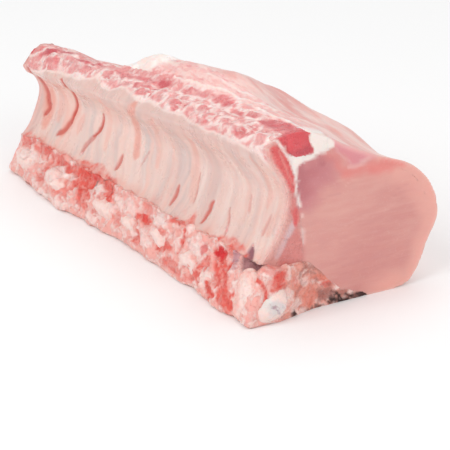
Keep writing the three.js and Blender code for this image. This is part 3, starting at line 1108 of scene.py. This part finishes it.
def liningMaterial():
    spec = lining
    material, n, shader = newMaterial("liningSkin", 0.15, 0.5)
    whole = n.place()
    grain = fibres(n, n.place((1, 0.08, 0.08), (0, 0.05, 0)), 420.0)
    top = ridgeOf(n, whole)
    ooze = flecks(n, whole, spec["blood"], spec["rosy"], spec["bloodDeep"], 280.0, 0.6)
    cut = cutOf(n, whole)
    colour = n.mix(n.mask("grey"), spec["cream"], spec["grey"])
    colour = n.mix(n.math("MULTIPLY", grain["Streaks"], 0.12), colour, spec["rosy"])
    colour = n.mix(n.mask("rosy"), colour, spec["rosy"])
    colour = n.mix(n.mask("veil"), colour, spec["veil"])
    colour = n.mix(n.mask("dusk"), colour, spec["dusk"])
    # painted shade under the brow
    colour = n.mix(n.mask("shade", 0.6), colour, spec["shade"])
    colour = n.mix(n.mask("flush", 0.8), colour, spec["flush"])
    colour = n.mix(n.mask("lip", 0.5), colour, spec["lip"])
    colour = n.mix(n.mask("slit"), colour, spec["slit"])
    # darker canal mouth, partly painted shade in the hole
    colour = n.mix(n.mask("mouth"), colour, spec["mouth"])
    colour = n.mix(n.mask("blood"), colour, ooze["Colour"])
    colour = n.mix(n.mask("ridge"), colour, top["Colour"])
    n.plug(shader.inputs["Base Color"], n.mix(n.mask("face"), colour, cut["Colour"]))
    moistened(n, shader, whole, *spec["moisture"])
    relief = n.math("MULTIPLY", n.math("MAXIMUM", n.mask("ridge"), n.mask("face")), top["Height"])
    bumped(n, shader, n.math("ADD", n.math("MULTIPLY", grain["Height"], 0.35), relief), 0.5)
    return material


finishPiece(makeWall(), liningMaterial(), "lining", "rib_wall")


# The sawn ends of the ribs stand out of the ridge
def makeRib(index):
    spec = ribEnds
    rib = skinOver(f"rib{index + 1}", [f"rib_{index + 1}"], spec["voxel"])
    placed = softened(rib, pointsOf(rib), 4)
    drawn = straighten(placed)
    x, y, z = drawn.T
    top = ramp(z, 86, 95)
    drawn[:, 1] += spec["sink"] * (1 - top) + top * ((y - 18) * (spec["spread"] - 1) + 2.8)
    away = np.hypot((x - ribPlaces[index]) / 7.2, (y - 18) / 3.6)
    drawn[:, 0] += spec["lean"][index] * ramp(z, 60, 96)
    drawn[:, :2] += (top * 1.1 * cloud(drawn, 4.5, 60 + index, 2))[:, None]
    drawn[:, 2] += top * (0.15 - 0.5 * ramp(away, 0.5, 1.1)) + 0.8 * sawnTop(drawn)
    movePoints(rib, settle(drawn))
    ring = away + 0.3 * cloud(drawn, 3, 70 + index)
    paint(rib, marrow=top * (1 - ramp(ring, 0.5, 0.9)), shell=top * np.exp(-(((ring - 0.95) / 0.18) ** 2)))
    return rib


def ribMaterial():
    spec = ribEnds
    material, n, shader = newMaterial("ribBone", 0.12, 0.4)
    whole = n.place()
    raw = flecks(n, whole, spec["marrow"], spec["shell"], spec["deep"], 260.0, 0.55)
    calm = flecks(n, whole, spec["mid"], spec["shell"], spec["marrow"], 240.0, 0.85)
    colour = n.mix(n.mask("marrow"), calm["Colour"], raw["Colour"])
    n.plug(shader.inputs["Base Color"], n.mix(n.mask("shell", 0.6), colour, spec["shell"]))
    moistened(n, shader, whole, *spec["moisture"])
    bumped(n, shader, raw["Height"], 0.5)
    return material


boneEnd = ribMaterial()
for i in range(len(ribPlaces)):
    finishPiece(makeRib(i), boneEnd, "rib_bone", f"rib_{i + 1}")


# The eye of the loin
loin = {"voxel": 1.15, "moisture": (0.33, 0.5, 60.0), "reach": 0.9}


def makeEye():
    eye = skinOver("loinEye", ["loin_eye"], loin["voxel"])
    placed, drawn, hug = trued(eye, 1.3, 1)
    # its hidden sides reach into the pieces round it
    placed += normalsOf(eye) * [0, 1, 1] * (loin["reach"] * (1 - hug))[:, None]
    movePoints(eye, placed + settle(handled(drawn)) - settle(drawn))
    paint(eye, **cutPicture(drawn))
    return eye


def loinMaterial():
    material, n, shader = newMaterial("loinMeat", 0.15, 0.4)
    whole = n.place()
    cut = cutOf(n, whole)
    n.plug(shader.inputs["Base Color"], cut["Colour"])
    moistened(n, shader, whole, *loin["moisture"])
    bumped(n, shader, cut["Height"], 0.4, 0.5)
    return material


finishPiece(makeEye(), loinMaterial(), "loin_meat", "loin_eye")


# The paler outer layer round the back, with white fat on its far half
backMeat = {
    "voxel": 1.2,
    "moisture": (0.32, 0.5, 80.0),
    # where the white fat comes in and goes out along x
    "fatFrom": (24, 40),
    "fatTo": (98, 112),
    "pink": "eeaea6",
    "pale": "f6d3cc",
    "streak": "e39a92",
    "lean": "df7d7d",
    "flush": "e98f88",
    "fat": "fdf5f1",
    # redder patches: centre (x, y), radii, strength; the squash makes their edges longer along x
    "flushSquash": 0.6,
    "flushes": [
        ((160, 76), (24, 9), 0.6), ((186, 72), (20, 7), 0.55), ((150, 92), (26, 10), 0.4),
        ((222, 66), (16, 5), 0.5), ((205, 60), (10, 3), 0.5), ((120, 60), (14, 5), 0.4),
    ],
    # bands of fat on the back, as (x, y): path, width, strength
    "fatBands": [
        ([(60, 50), (90, 49), (118, 47), (150, 47)], 5, 0.9),
        ([(96, 62), (120, 56), (150, 54)], 3.5, 0.5),
        ([(168, 62), (186, 66), (205, 70)], 3.0, 0.55),
        ([(150, 60), (170, 56), (196, 54), (214, 53)], 3.0, 0.6),
        ([(214, 56), (232, 60), (250, 60)], 2.4, 0.7),
        ([(232, 70), (244, 76), (254, 82)], 3.0, 0.5),
        ([(180, 82), (205, 86), (230, 90)], 3.5, 0.45),
    ],
}


def fatSpan(drawn):
    x = drawn[:, 0]
    start = ramp(x + 6 * cloud(drawn, 9, 27), *backMeat["fatFrom"])
    return (1 - ramp(x + 10 * cloud(drawn, 16, 6), *backMeat["fatTo"])) * start


def makeBack():
    spec = backMeat
    back = skinOver("backLayer", ["back_layer"], spec["voxel"])
    placed, drawn, hug = trued(back, 1.2, 2)
    x, y, z = drawn.T
    face = facing(x)
    wander = drawn[:, :2] + 2 * np.stack([cloud(drawn, 12, 51), cloud(drawn, 9, 52)], 1)
    bands = strokes(wander, spec["fatBands"])
    top = ramp(z, 62, 72) * (1 - face)
    rise = (1 - hug) * (1 - face) * (0.5 * bands * top + 0.3 * cloud(drawn * [0.4, 1, 1], 6, 54))
    placed += normalsOf(back) * rise[:, None]
    movePoints(back, placed + settle(handled(drawn)) - settle(drawn))
    patch = fatSpan(drawn) * (1 - ramp(y + 6 * cloud(drawn, 12, 7), 74, 92)) * ramp(z, 40, 60)
    squash = np.array([spec["flushSquash"], 1])
    flushes = [(squash * at, squash * size, strength) for at, size, strength in spec["flushes"]]
    lean = (1 - ramp(x + 6 * cloud(drawn, 9, 27), 18, 34)) * ramp(z, 60, 74) * (1 - face)
    paint(
        back,
        face=face,
        bands=bands * top,
        fat=patch * (1 - face),
        lean=lean * (0.55 + 0.5 * cloud(drawn, 6, 29)),
        flush=blots(drawn[:, :2] * squash, flushes, 0.6, 57),
        verge=np.exp(-(((np.abs(x - 128.7) - 127) / 2.5) ** 2)) * (1 - face) * ramp(y, 48, 60),
        **cutPicture(drawn),
    )
    return back


def backMaterial():
    spec = backMeat
    material, n, shader = newMaterial("backMeat", 0.15, 0.4)
    whole = n.place()
    cut = cutOf(n, whole)
    grain = fibres(n, n.place((0.12, 1, 1), (0, 0, 0.12)), 230.0)
    fine = fibres(n, n.place((0.1, 1, 1), (0, 0, 0.08)), 900.0, 0.5)
    clear = n.spread(n.noise(n.place((0.4, 1, 1)), 45.0, 3, 0.5), 0.42, 0.6)
    patches = patched(n, n.place((0.35, 1, 1)), spec["pink"], spec["pale"], 62.0)
    streaked = n.math("MULTIPLY", grain["Streaks"], n.math("MULTIPLY", clear, 0.5))
    colour = n.mix(streaked, patches["Colour"], spec["streak"])
    colour = n.mix(n.mask("flush"), colour, spec["flush"])
    colour = n.mix(n.mask("lean"), colour, spec["lean"])
    colour = n.mix(n.mask("bands"), colour, spec["pale"])
    colour = n.mix(n.mask("verge", 0.6), colour, spec["pale"])
    colour = n.mix(n.mask("fat"), colour, spec["fat"])
    n.plug(shader.inputs["Base Color"], n.mix(n.mask("face"), colour, cut["Colour"]))
    moistened(n, shader, whole, *spec["moisture"])
    height = n.mix(n.mask("face"), n.math("ADD", grain["Height"], fine["Height"]), cut["Height"])
    bumped(n, shader, height, 0.5, 0.7)
    return material


finishPiece(makeBack(), backMaterial(), "back_meat", "back_layer")


# The dark cap muscle, rough where it is sawn and smooth at the large cut face
capMeat = {"voxel": 1.0, "moisture": (0.26, 0.46, 140.0), "bulge": 1.2}


def makeCap():
    spec = capMeat
    cap = skinOver("capMuscle", ["cap_muscle"], spec["voxel"])
    placed, drawn, _ = trued(cap, 1.1, 2)
    x, y, z = drawn.T
    face = facing(x)
    placed[:, 2] += sawnTop(drawn) * (1 - face)
    placed += settle(handled(drawn)) - settle(drawn)
    centre = np.hypot((y - 29.5) / 7, (z - 91.5) / 6)
    placed[:, 0] += endSide(x) * face * spec["bulge"] * (1 - ramp(centre, 0.3, 1.05))
    movePoints(cap, placed)
    masks = {**cutPicture(drawn, x > 240), **ridgeTone(drawn)}
    smooth = ramp(x + 2 * cloud(drawn, 6, 61), 251, 255.5)
    masks["cap"] = np.maximum(masks["cap"], smooth * (1 - ramp(drawn[:, 1], 37.5, 39.5)))
    paint(cap, face=np.maximum(face, smooth), **masks)
    return cap


def capMaterial():
    spec = capMeat
    material, n, shader = newMaterial("capMeat", 0.12, 0.5)
    whole = n.place()
    cut = cutOf(n, whole)
    top = ridgeOf(n, whole)
    n.plug(shader.inputs["Base Color"], n.mix(n.mask("face"), top["Colour"], cut["Colour"]))
    moistened(n, shader, whole, *spec["moisture"])
    bumped(n, shader, n.math("ADD", cut["Height"], top["Height"]), 0.4)
    return material


finishPiece(makeCap(), capMaterial(), "dark_meat", "cap_muscle")


# The wedge of fat between the cap muscle, the eye and the outer layer
seamFat = {
    "voxel": 0.9,
    "moisture": (0.3, 0.5, 90.0),
    "white": "fbf2ee",
    "cream": "f7e0d8",
    "pink": "efb9b4",
    "red": "dd8288",
    # the thin white line that runs along the top, as (x, y)
    "whiteLine": [
        ([(128, 39), (149, 38.5), (169, 40.5), (191, 42), (204, 45), (214, 46)], 1.1, 0.85),
        ([(204, 41), (222, 40), (240, 40), (257, 39)], 1.6, 0.8),
        ([(150, 44), (170, 45), (190, 46)], 1.0, 0.4),
    ],
}


def makeFat():
    spec = seamFat
    fat = skinOver("seamFat", ["seam_fat"], spec["voxel"])
    placed, drawn, hug = trued(fat, 1.0, 2)
    x, y, z = drawn.T
    face = facing(x)
    line = strokes(drawn[:, :2] + 0.8 * np.stack([0 * x, cloud(drawn, 7, 22)], 1), spec["whiteLine"])
    top = ramp(z, 88, 92) * (1 - face)
    crest = top * (0.5 * line + 0.4 * cloud(drawn, 5, 24)) * (1 - 0.5 * hug)
    placed[:, 2] += sawnTop(drawn) * (1 - face) + crest
    placed += settle(handled(drawn)) - settle(drawn)
    movePoints(fat, placed)
    near = ramp(x + 5 * cloud(drawn, 8, 26), 240, 253)
    tones = ridgeTone(drawn)
    sawn = np.maximum(1 - ramp(y + 1.5 * cloud(drawn, 5, 28), 38, 41), tones["ridgeRed"])
    meaty = top * (1 - line) * (1 - fatSpan(drawn)) * (1 - near)
    paint(fat, meaty=meaty, sawn=sawn * (1 - line), face=face, **tones, **cutPicture(drawn))
    return fat


def fatMaterial():
    spec = seamFat
    material, n, shader = newMaterial("firmFat", 0.2, 0.4)
    whole = n.place()
    raw = patched(n, whole, spec["white"], spec["cream"], 90.0)
    meaty = flecks(n, n.place((0.35, 1, 1)), spec["pink"], spec["cream"], spec["red"], 260.0, 0.6)
    meat = n.mix(n.mask("sawn"), meaty["Colour"], ridgeOf(n, whole)["Colour"])
    colour = n.mix(n.mask("meaty"), raw["Colour"], meat)
    n.plug(shader.inputs["Base Color"], n.mix(n.mask("face"), colour, cutOf(n, whole)["Colour"]))
    moistened(n, shader, whole, *spec["moisture"])
    bumped(n, shader, raw["Patches"], 0.2)
    return material


finishPiece(makeFat(), fatMaterial(), "fat", "seam_fat")


# The sawn backbone
chine = {
    "voxel": 0.9,
    "moisture": (0.28, 0.5, 160.0),
    "pink": "f5b1a7",
    "pale": "fde5df",
    "mid": "ea867b",
    "red": "e85f52",
    "bright": "dc2b30",
    "purple": "c18890",
    # painted shadow: near black, for the shade in crevices and where the underside meets the floor
    "dark": "3b1a17",
    # the canal's mouth: partly its own darker tissue colour, partly painted shade in the hole
    "hole": "b07a7c",
    "brown": "a8685f",
    "flesh": "eca293",
    "fleshDeep": "cf8175",
    "orange": "ea7f6a",
    # blood and red marrow along the front: centre (x, z), radii, strength
    "reds": [
        ((9, 27), (8, 5), 0.8),
        ((20, 29), (9, 3), 0.7),
        ((40, 29), (12, 3.5), 0.9),
        ((60, 28), (16, 3), 0.9),
        ((84, 23), (11, 8), 1.0),
        ((79, 28), (12, 4), 1.0),
        ((96, 30), (12, 3), 0.9),
        ((110, 26), (6, 6), 1.0),
        ((103, 15), (4, 5), 0.7),
        ((68, 13), (6, 5), 0.6),
        ((42, 13), (6, 4), 0.7),
        ((88, 12), (7, 5), 0.7),
        ((126, 14), (6, 4), 0.5),
        ((147, 22), (8, 4), 1.0),
        ((147, 9), (5, 4), 0.9),
        ((173, 14), (7, 5), 0.9),
        ((180, 30), (10, 1.8), 0.8),
        ((189, 22), (3, 7), 1.0),
        ((184, 6), (9, 4), 0.7),
        ((200, 5), (8, 3), 0.6),
        ((213, 19), (5, 4), 0.9),
        ((207, 8), (6, 4.5), 0.9),
        ((226, 25), (9, 6), 1.0),
        ((232, 17), (8, 6), 1.0),
        ((240, 8), (9, 5.5), 1.0),
        ((224, 6), (10, 4.5), 1.0),
        ((250, 6), (6, 3), 0.5),
        ((150, 28), (6, 3), 0.5),
        ((44, 20), (5, 5), 0.7),
        ((200, 13), (6, 3), 0.6),
        ((168, 20), (5, 3), 0.6),
    ],
    "brights": [
        ((222, 27), (5, 3.5), 1.0), ((208, 24), (2.5, 3), 0.6), ((92, 29), (6, 2.5), 0.5),
        ((148, 23), (4, 2), 0.5),
    ],
    "pales": [
        ((52, 4), (8, 3.5), 1.0),
        ((99, 24), (5, 5), 1.0),
        ((163, 26), (13, 4), 0.9),
        ((203, 22), (8, 5), 0.8),
        ((217, 12), (6, 5), 0.9),
        ((135, 24), (8, 4), 0.7),
        ((22, 20), (9, 7), 1.0),
        ((60, 22), (8, 5.5), 0.8),
        ((114, 18), (7, 5.5), 0.8),
        ((40, 8), (6, 4), 0.7),
        ((122, 25), (6, 3), 0.7),
        ((76, 6), (7, 3), 0.5),
        ((155, 12), (7, 5), 0.7),
    ],
    "purples": [((236, 29.5), (4, 4), 0.9), ((238.5, 25), (3, 3), 0.6)],
    # painted shade: dark lines in the crevices round a bone chip, and a painted contact shadow along the
    # floor
    "shadowLines": [
        ([(99, 31.5), (104, 30)], 0.9, 0.6), ([(95, 28), (94, 24)], 1.0, 0.6),
        ([(109, 30), (110.5, 26)], 1.0, 0.6), ([(24, 1.5), (34, 1)], 1.2, 0.6),
        ([(196, 12), (199, 16)], 1, 0.5),
    ],
    # on the cut end: centre (y, z), radii, strength
    "faceReds": [
        ((16.8, 22.5), (5.4, 7.6), 1.0), ((12, 29), (5, 2.5), 0.5), ((49, 12.7), (4, 2), 0.8),
        ((27, 20), (3, 3), 0.4),
    ],
    "faceRedLines": [([(5, 26), (8.6, 20), (8.8, 15), (6.5, 11)], 2.0, 1.0)],
    "faceOranges": [
        ((38, 8), (5.5, 7), 0.75), ((30, 14), (6, 4), 0.5), ((46, 17), (6, 2.5), 0.7),
        ((51, 10), (4, 3), 0.6),
    ],
    # painted contact shadow along the foot of the cut end
    "faceShadows": [
        ((54, 3.4), (4, 4.6), 1.0), ((62, 1.8), (9, 3), 1.0), ((73, 1.2), (9, 2.2), 1.0),
        ((27.4, 0.9), (2.4, 1.9), 1.0), ((43, 1.2), (4, 1.3), 0.7), ((37, 0.6), (2, 0.8), 0.6),
    ],
    "faceBrowns": [
        ((48.4, 7.5), (6.5, 5), 1.0), ((60, 6.6), (3.4, 2.6), 0.9), ((66, 2.6), (6, 1.6), 0.6),
        ((32, 18), (1.6, 1.6), 0.6), ((42.5, 15.5), (1.4, 2), 0.7), ((29.5, 13), (1.6, 1.6), 0.5),
    ],
    "faceBrownLines": [
        ([(30.5, 20), (33, 24.4), (38, 24.4), (43, 22), (47, 18)], 2.0, 0.8),
        ([(33, 20.5), (37, 21.8), (42, 19.5)], 1.4, 0.7), ([(29, 10), (32, 15), (36, 17)], 1.2, 0.5),
        ([(44, 12), (45, 7), (44, 3)], 1.2, 0.5),
    ],
    "facePales": [
        ((57, 10), (4.5, 2.2), 0.9), ((66, 5.4), (5, 2), 0.8), ((34, 18.6), (4, 1.6), 0.5),
        ((28, 6), (4.5, 4), 0.7), ((22, 12), (5, 3), 0.6), ((11, 12), (5, 9), 0.6),
    ],
}


def makeChine():
    spec = chine
    nodes = ["chine", "spine_process", "chine_gristle"] + [f"vertebra_{i + 1}" for i in range(vertebraCount)]
    body = skinOver("chineMeat", nodes, spec["voxel"], 0.25)
    placed = softened(body, pointsOf(body), 2)
    drawn = straighten(placed)
    front, gap = nearest(drawn, chineLine)
    ahead = (gap < 3) & (drawn[:, 1] < front[:, 0] + 0.5) & (drawn[:, 0] < 262)
    drawn[:, 1:] = np.where(ahead[:, None], front, drawn[:, 1:])
    movePoints(body, settle(drawn))
    placed, drawn, hug = trued(body, 1.1, 2, (0,))
    x, y, z = drawn.T
    pocket = ramp(x, 236, 242) * (1 - ramp(y, 12, 18))
    placed = softened(body, placed, 14, pocket)
    placed = softened(body, placed, 40, pocket * blots(drawn[:, [0, 2]], [((249, 29), (9, 6), 1.0)], 0, 1))
    face = np.maximum(ramp(x, 255.8, 257.3), 1 - ramp(x, 1, 4))
    front = (1 - ramp(y, 11, 17)) * (1 - ramp(x, 257, 260))
    low = ramp(z, 0.3, 3.5)
    flat, cut = drawn[:, [0, 2]], drawn[:, 1:]
    ragged = flat + 1.2 * np.stack([cloud(drawn, 5, 35), cloud(drawn, 5, 36)], 1)
    reds, pales = blots(ragged, spec["reds"], 0.75, 5), blots(ragged, spec["pales"], 0.35, 25)
    reds *= np.clip(1.2 + 0.5 * cloud(drawn, 2.8, 47, 2), 0, 1)
    canal = canalAt(drawn, 20)
    faceReds, facePales = blots(cut, spec["faceReds"], 0.35, 6), blots(cut, spec["facePales"], 0.4, 26)
    faceReds = np.maximum(faceReds, strokes(cut, spec["faceRedLines"]))
    crags = 1.2 * cloud(drawn, 9, 31, 2) + 1.0 * cloud(drawn, 3.6, 33, 3)
    rise = front * low * (crags - 0.9 * reds + 1.1 * pales)
    rise += face * low * (0.8 * crags - 0.5 * faceReds + 0.4 * facePales)
    rise += (1 - front) * (1 - face) * 0.3 * crags * ramp(z, 0.3, 2)
    rise = rise * (1 - 0.6 * pocket) - 1.6 * canal
    placed += normalsOf(body) * (rise * (1 - 0.7 * hug))[:, None]
    # lumps that climb over the foot of the lining
    brow = front * ramp(z, 25, 30) * (1 - ramp(y, 11, 16))
    climb = np.clip(cloud(drawn * [1, 0.5, 0.5], 7, 37, 3) + 0.2, 0, 1.2) * (1 - pocket) * ramp(x, 3, 14)
    placed[:, 2] += brow * 2.6 * climb
    placed[:, 1] -= brow * 1.1 * climb
    # a torn upper edge where the backbone stands out under the cut face
    torn = hug * ramp(x, 258, 259.5) * ramp(y, 16, 22)
    placed[:, 2] += torn * (2.2 * cloud(drawn * [0.3, 1, 1], 5, 38, 3) + 0.6)
    foot = (1 - ramp(z, 4, 14)) * (1 - ramp(y, 6, 16)) * (1 - ramp(x, 250, 257)) * ramp(x, 2, 14)
    wave = cloud(drawn * [1, 0, 0], 15, 39, 2)
    placed[:, 1] += foot * 2.0 * wave
    placed[:, 2] = np.maximum(placed[:, 2] + foot * ramp(z, -1, 2) * 0.8 * wave, 0)
    corner = (1 - ramp(x, 2, 9)) * (1 - ramp(y, 6, 12)) * (1 - ramp(z, 24, 29))
    placed = softened(body, placed, 30, corner)
    placed[:, 2] = np.maximum(placed[:, 2], 0)
    movePoints(body, placed)
    side = 1 - face
    # painted contact shadow at the foot of the cut ends
    faceShadow = blots(cut, spec["faceShadows"], 0.6, 66) * face
    faceShadow *= np.clip(0.95 + 0.8 * cloud(drawn, 2.2, 67, 2), 0, 1)
    wavy = cut + 0.8 * np.stack([cloud(drawn, 4, 76), 0 * x], 1)
    browns = np.maximum(blots(cut, spec["faceBrowns"], 0.5, 75), strokes(wavy, spec["faceBrownLines"]))
    paint(
        body,
        red=np.maximum(reds * front * side, faceReds * face),
        bright=blots(ragged, spec["brights"], 0.4, 45) * front * side,
        pale=np.maximum(pales * front * side, facePales * face),
        purple=blots(ragged, spec["purples"], 0.35, 55) * side,
        # canal mouth, partly painted shade in the hole
        hole=canal,
        # painted crevice shade and contact shadow
        dark=np.maximum(strokes(ragged, spec["shadowLines"]) * side, faceShadow),
        brown=browns * face,
        orange=blots(cut, spec["faceOranges"], 0.4, 85) * face,
        flesh=np.maximum(face * ramp(y, 14, 24), ramp(y, 14, 24) * (1 - front)),
    )
    return body


def chineMaterial():
    spec = chine
    material, n, shader = newMaterial("chineMeat", 0.12, 0.4)
    whole = n.place()
    bits = flecks(n, whole, spec["pink"], spec["pale"], spec["mid"], 210.0, 0.75)
    blood = flecks(n, whole, spec["red"], spec["pink"], spec["bright"], 240.0, 0.5)
    flesh = flecks(n, whole, spec["flesh"], spec["pale"], spec["fleshDeep"], 230.0, 0.6)
    bony = flecks(n, whole, spec["pale"], spec["pale"], spec["pink"], 300.0, 0.5)
    colour = n.mix(n.mask("flesh"), bits["Colour"], flesh["Colour"])
    colour = n.mix(n.mask("orange"), colour, spec["orange"])
    colour = n.mix(n.mask("pale", 0.85), colour, bony["Colour"])
    colour = n.mix(n.mask("red"), colour, blood["Colour"])
    colour = n.mix(n.mask("bright"), colour, spec["bright"])
    colour = n.mix(n.mask("brown", 0.8), colour, spec["brown"])
    colour = n.mix(n.mask("purple"), colour, spec["purple"])
    # darker canal mouth, partly painted shade in the hole
    colour = n.mix(n.mask("hole"), colour, spec["hole"])
    # painted shadow in crevices and at the floor
    colour = n.mix(n.mask("dark"), colour, spec["dark"])
    n.plug(shader.inputs["Base Color"], colour)
    moistened(n, shader, whole, *spec["moisture"])
    bumped(n, shader, n.math("ADD", bits["Height"], n.math("MULTIPLY", blood["Height"], 0.6)), 0.6)
    return material


finishPiece(makeChine(), chineMaterial(), "chine_meat", "chine")


# Bone bodies in the chine, the upright process and the gristle knob
sawnBone = {
    "voxel": 0.8,
    "moisture": (0.32, 0.52, 160.0),
    "gristleMoisture": (0.2, 0.35, 90.0),
    "sink": 0.3,
    "pale": "f7d9d1",
    "pink": "f3beb4",
    "red": "ea887d",
    "white": "fae6e0",
    "gristle": "e4e0da",
    "blue": "ccd0d3",
    "stain": "b79da4",
    "spine": {"scale": (1.0, 1.0, 1.12), "shift": (3.0, -0.6, -0.8), "seed": 95},
    "knob": {"scale": (1.0, 0.8, 1.0), "shift": (1.2, -3.4, 0.2), "seed": 97},
}


def makeVertebra(index):
    spec = sawnBone
    bone = skinOver(f"vertebra{index + 1}", [f"vertebra_{index + 1}"], spec["voxel"], 0.7)
    placed = softened(bone, pointsOf(bone), 5)
    drawn = straighten(placed)
    middle = (drawn.min(0) + drawn.max(0)) / 2
    reach = (drawn.max(0) - drawn.min(0)) / 2
    drawn[:, 1] += spec["sink"]
    side, depth, up = ((drawn - middle) / reach).T
    away = np.hypot(side, up)
    ragged = cloud(drawn, 7, 80 + index), 0.5 * cloud(drawn, 3.4, 90 + index), cloud(drawn, 7, 100 + index)
    drawn += np.stack(ragged, 1) * [1.8, 0.9, 1.6]
    drawn[:, 1] += 1.6 * ramp(away, 0.7, 1.05) * (depth < 0.2)
    movePoints(bone, settle(drawn))
    edge = away + 0.25 * cloud(drawn, 4, 110 + index)
    spotty = blots(drawn[:, [0, 2]] - middle[[0, 2]], [((0, -1), (3, 2.5), 0.8 * (index in (4, 1)))], 0.5, 3)
    paint(bone, edge=ramp(edge, 0.6, 1.0), red=np.maximum(ramp(edge, 0.85, 1.1), spotty))
    return bone


# A soft tip that comes up out of the chine, moved a little and scaled round its middle
def makeTip(name, node, tip):
    bone = skinOver(name, [node], sawnBone["voxel"], 0.4)
    placed = softened(bone, pointsOf(bone), 5)
    middle = (placed.min(0) + placed.max(0)) / 2
    placed = middle + (placed - middle) * tip["scale"] + tip["shift"]
    placed[:, 2] = np.maximum(placed[:, 2], 0.6)
    movePoints(bone, placed)
    rise = 0.6 * (cloud(placed, 6, tip["seed"], 2) + 0.5 * cloud(placed, 2.5, tip["seed"] + 3, 2))
    low, high = placed.min(0), placed.max(0)
    share = (placed - low) / (high - low) - 0.5
    rim = np.hypot(share[:, 0] + share[:, 1], share[:, 2]) * 2
    fromCore = np.hypot(share[:, 1] / 0.32, share[:, 2] / 0.32) + 0.3 * cloud(placed, 4, tip["seed"])
    core = 1 - ramp(fromCore, 0.5, 1.1)
    movePoints(bone, placed + normalsOf(bone) * rise[:, None])
    patchy = 0.5 * ramp(cloud(placed, 5, tip["seed"] + 7), -0.1, 0.7)
    paint(bone, edge=np.maximum(patchy, ramp(rim, 0.6, 0.95)), red=0 * core, core=core)
    return bone


def boneMaterial():
    spec = sawnBone
    material, n, shader = newMaterial("sawnBone", 0.15, 0.4)
    whole = n.place()
    body = flecks(n, whole, spec["pale"], spec["white"], spec["pink"], 260.0, 0.5)
    ring = flecks(n, whole, spec["pink"], spec["pale"], spec["red"], 230.0, 0.7)
    colour = n.mix(n.mask("edge"), body["Colour"], ring["Colour"])
    n.plug(shader.inputs["Base Color"], n.mix(n.mask("red", 0.8), colour, spec["red"]))
    moistened(n, shader, whole, *spec["moisture"])
    bumped(n, shader, body["Height"], 0.4)
    return material


def gristleMaterial():
    spec = sawnBone
    material, n, shader = newMaterial("gristle", 0.25, 0.6)
    whole = n.place()
    broad = patched(n, whole, spec["gristle"], spec["pale"], 90.0, 0.53)
    colour = n.mix(n.mask("edge"), broad["Colour"], spec["pale"])
    colour = n.mix(n.mask("core", 0.6), colour, spec["blue"])
    stain = patched(n, whole, "000000", "ffffff", 150.0, 0.62, 0.05)
    stained = n.math("MULTIPLY", stain["Patches"], n.mask("core"))
    n.plug(shader.inputs["Base Color"], n.mix(stained, colour, spec["stain"]))
    moistened(n, shader, whole, *spec["gristleMoisture"])
    bumped(n, shader, broad["Patches"], 0.3)
    return material


bone = boneMaterial()
for i in range(vertebraCount):
    finishPiece(makeVertebra(i), bone, "sawn_bone", f"vertebra_{i + 1}")
spineTip = makeTip("spineTip", "spine_process", sawnBone["spine"])
finishPiece(spineTip, bone, "sawn_bone", "spine_process")
gristleKnob = makeTip("gristleKnob", "chine_gristle", sawnBone["knob"])
finishPiece(gristleKnob, gristleMaterial(), "gristle", "chine_gristle")


# The pinks are matched under the plain view transform
bpy.context.scene.view_settings.view_transform = "Standard"

studio = {
    "floor": 0.97,
    "sky": 0.61,
    "lights": [
        # name, place, size, watts
        ("key", (0.25, -1.1, 1.0), 1.0, 8.0),
        ("side", (1.3, 0.1, 0.8), 1.0, 4.0),
        ("top", (-0.4, 0.5, 1.4), 1.2, 5.0),
    ],
    "aim": (0, 0, 0.045),
}


def makeStudio():
    spec = studio
    bpy.ops.mesh.primitive_plane_add(size=8)
    floor = bpy.context.object
    floor.name = "floor"
    material = bpy.data.materials.new("paleFloor")
    material.use_nodes = True
    shader = material.node_tree.nodes["Principled BSDF"]
    shader.inputs["Base Color"].default_value = (spec["floor"], spec["floor"], spec["floor"], 1)
    shader.inputs["Roughness"].default_value = 0.9
    shader.inputs["Specular IOR Level"].default_value = 0.1
    floor.data.materials.append(material)
    world = bpy.data.worlds.new("studio")
    world.use_nodes = True
    world.node_tree.nodes["Background"].inputs["Color"].default_value = (1, 1, 1, 1)
    world.node_tree.nodes["Background"].inputs["Strength"].default_value = spec["sky"]
    bpy.context.scene.world = world
    for name, place, size, watts in spec["lights"]:
        light = bpy.data.lights.new(name, "AREA")
        light.size = size
        light.energy = watts
        lamp = bpy.data.objects.new(name, light)
        lamp.location = place
        lamp.rotation_euler = (Vector(spec["aim"]) - Vector(place)).to_track_quat("-Z", "Y").to_euler()
        bpy.context.scene.collection.objects.link(lamp)


# The photo's camera; its place is measured in metres from the bottom corner at the near end of the backbone
camera = {
    "azimuth": 59.5,
    "elevation": 22.5,
    "lens": 176,
    "cornerAt": 263,
    "fromCorner": (0.85199, -0.51637, 0.46946),
}


def makeCamera():
    spec = camera
    a, e = math.radians(spec["azimuth"]), math.radians(spec["elevation"])
    back = Vector((math.sin(a) * math.cos(e), -math.cos(a) * math.cos(e), math.sin(e)))
    lens = bpy.data.cameras.new("camera")
    lens.lens = spec["lens"]
    lens.sensor_width = 36
    lens.clip_start, lens.clip_end = 0.01, 20
    eye = bpy.data.objects.new("camera", lens)
    corner = Vector(((spec["cornerAt"] - offset[0]) * 0.001, -offset[1] * 0.001, 0))
    eye.location = corner + Vector(spec["fromCorner"])
    eye.rotation_mode = "QUATERNION"
    eye.rotation_quaternion = (-back).to_track_quat("-Z", "Y")
    bpy.context.scene.collection.objects.link(eye)
    bpy.context.scene.camera = eye


makeStudio()
makeCamera()
print("rack: studio and camera set")
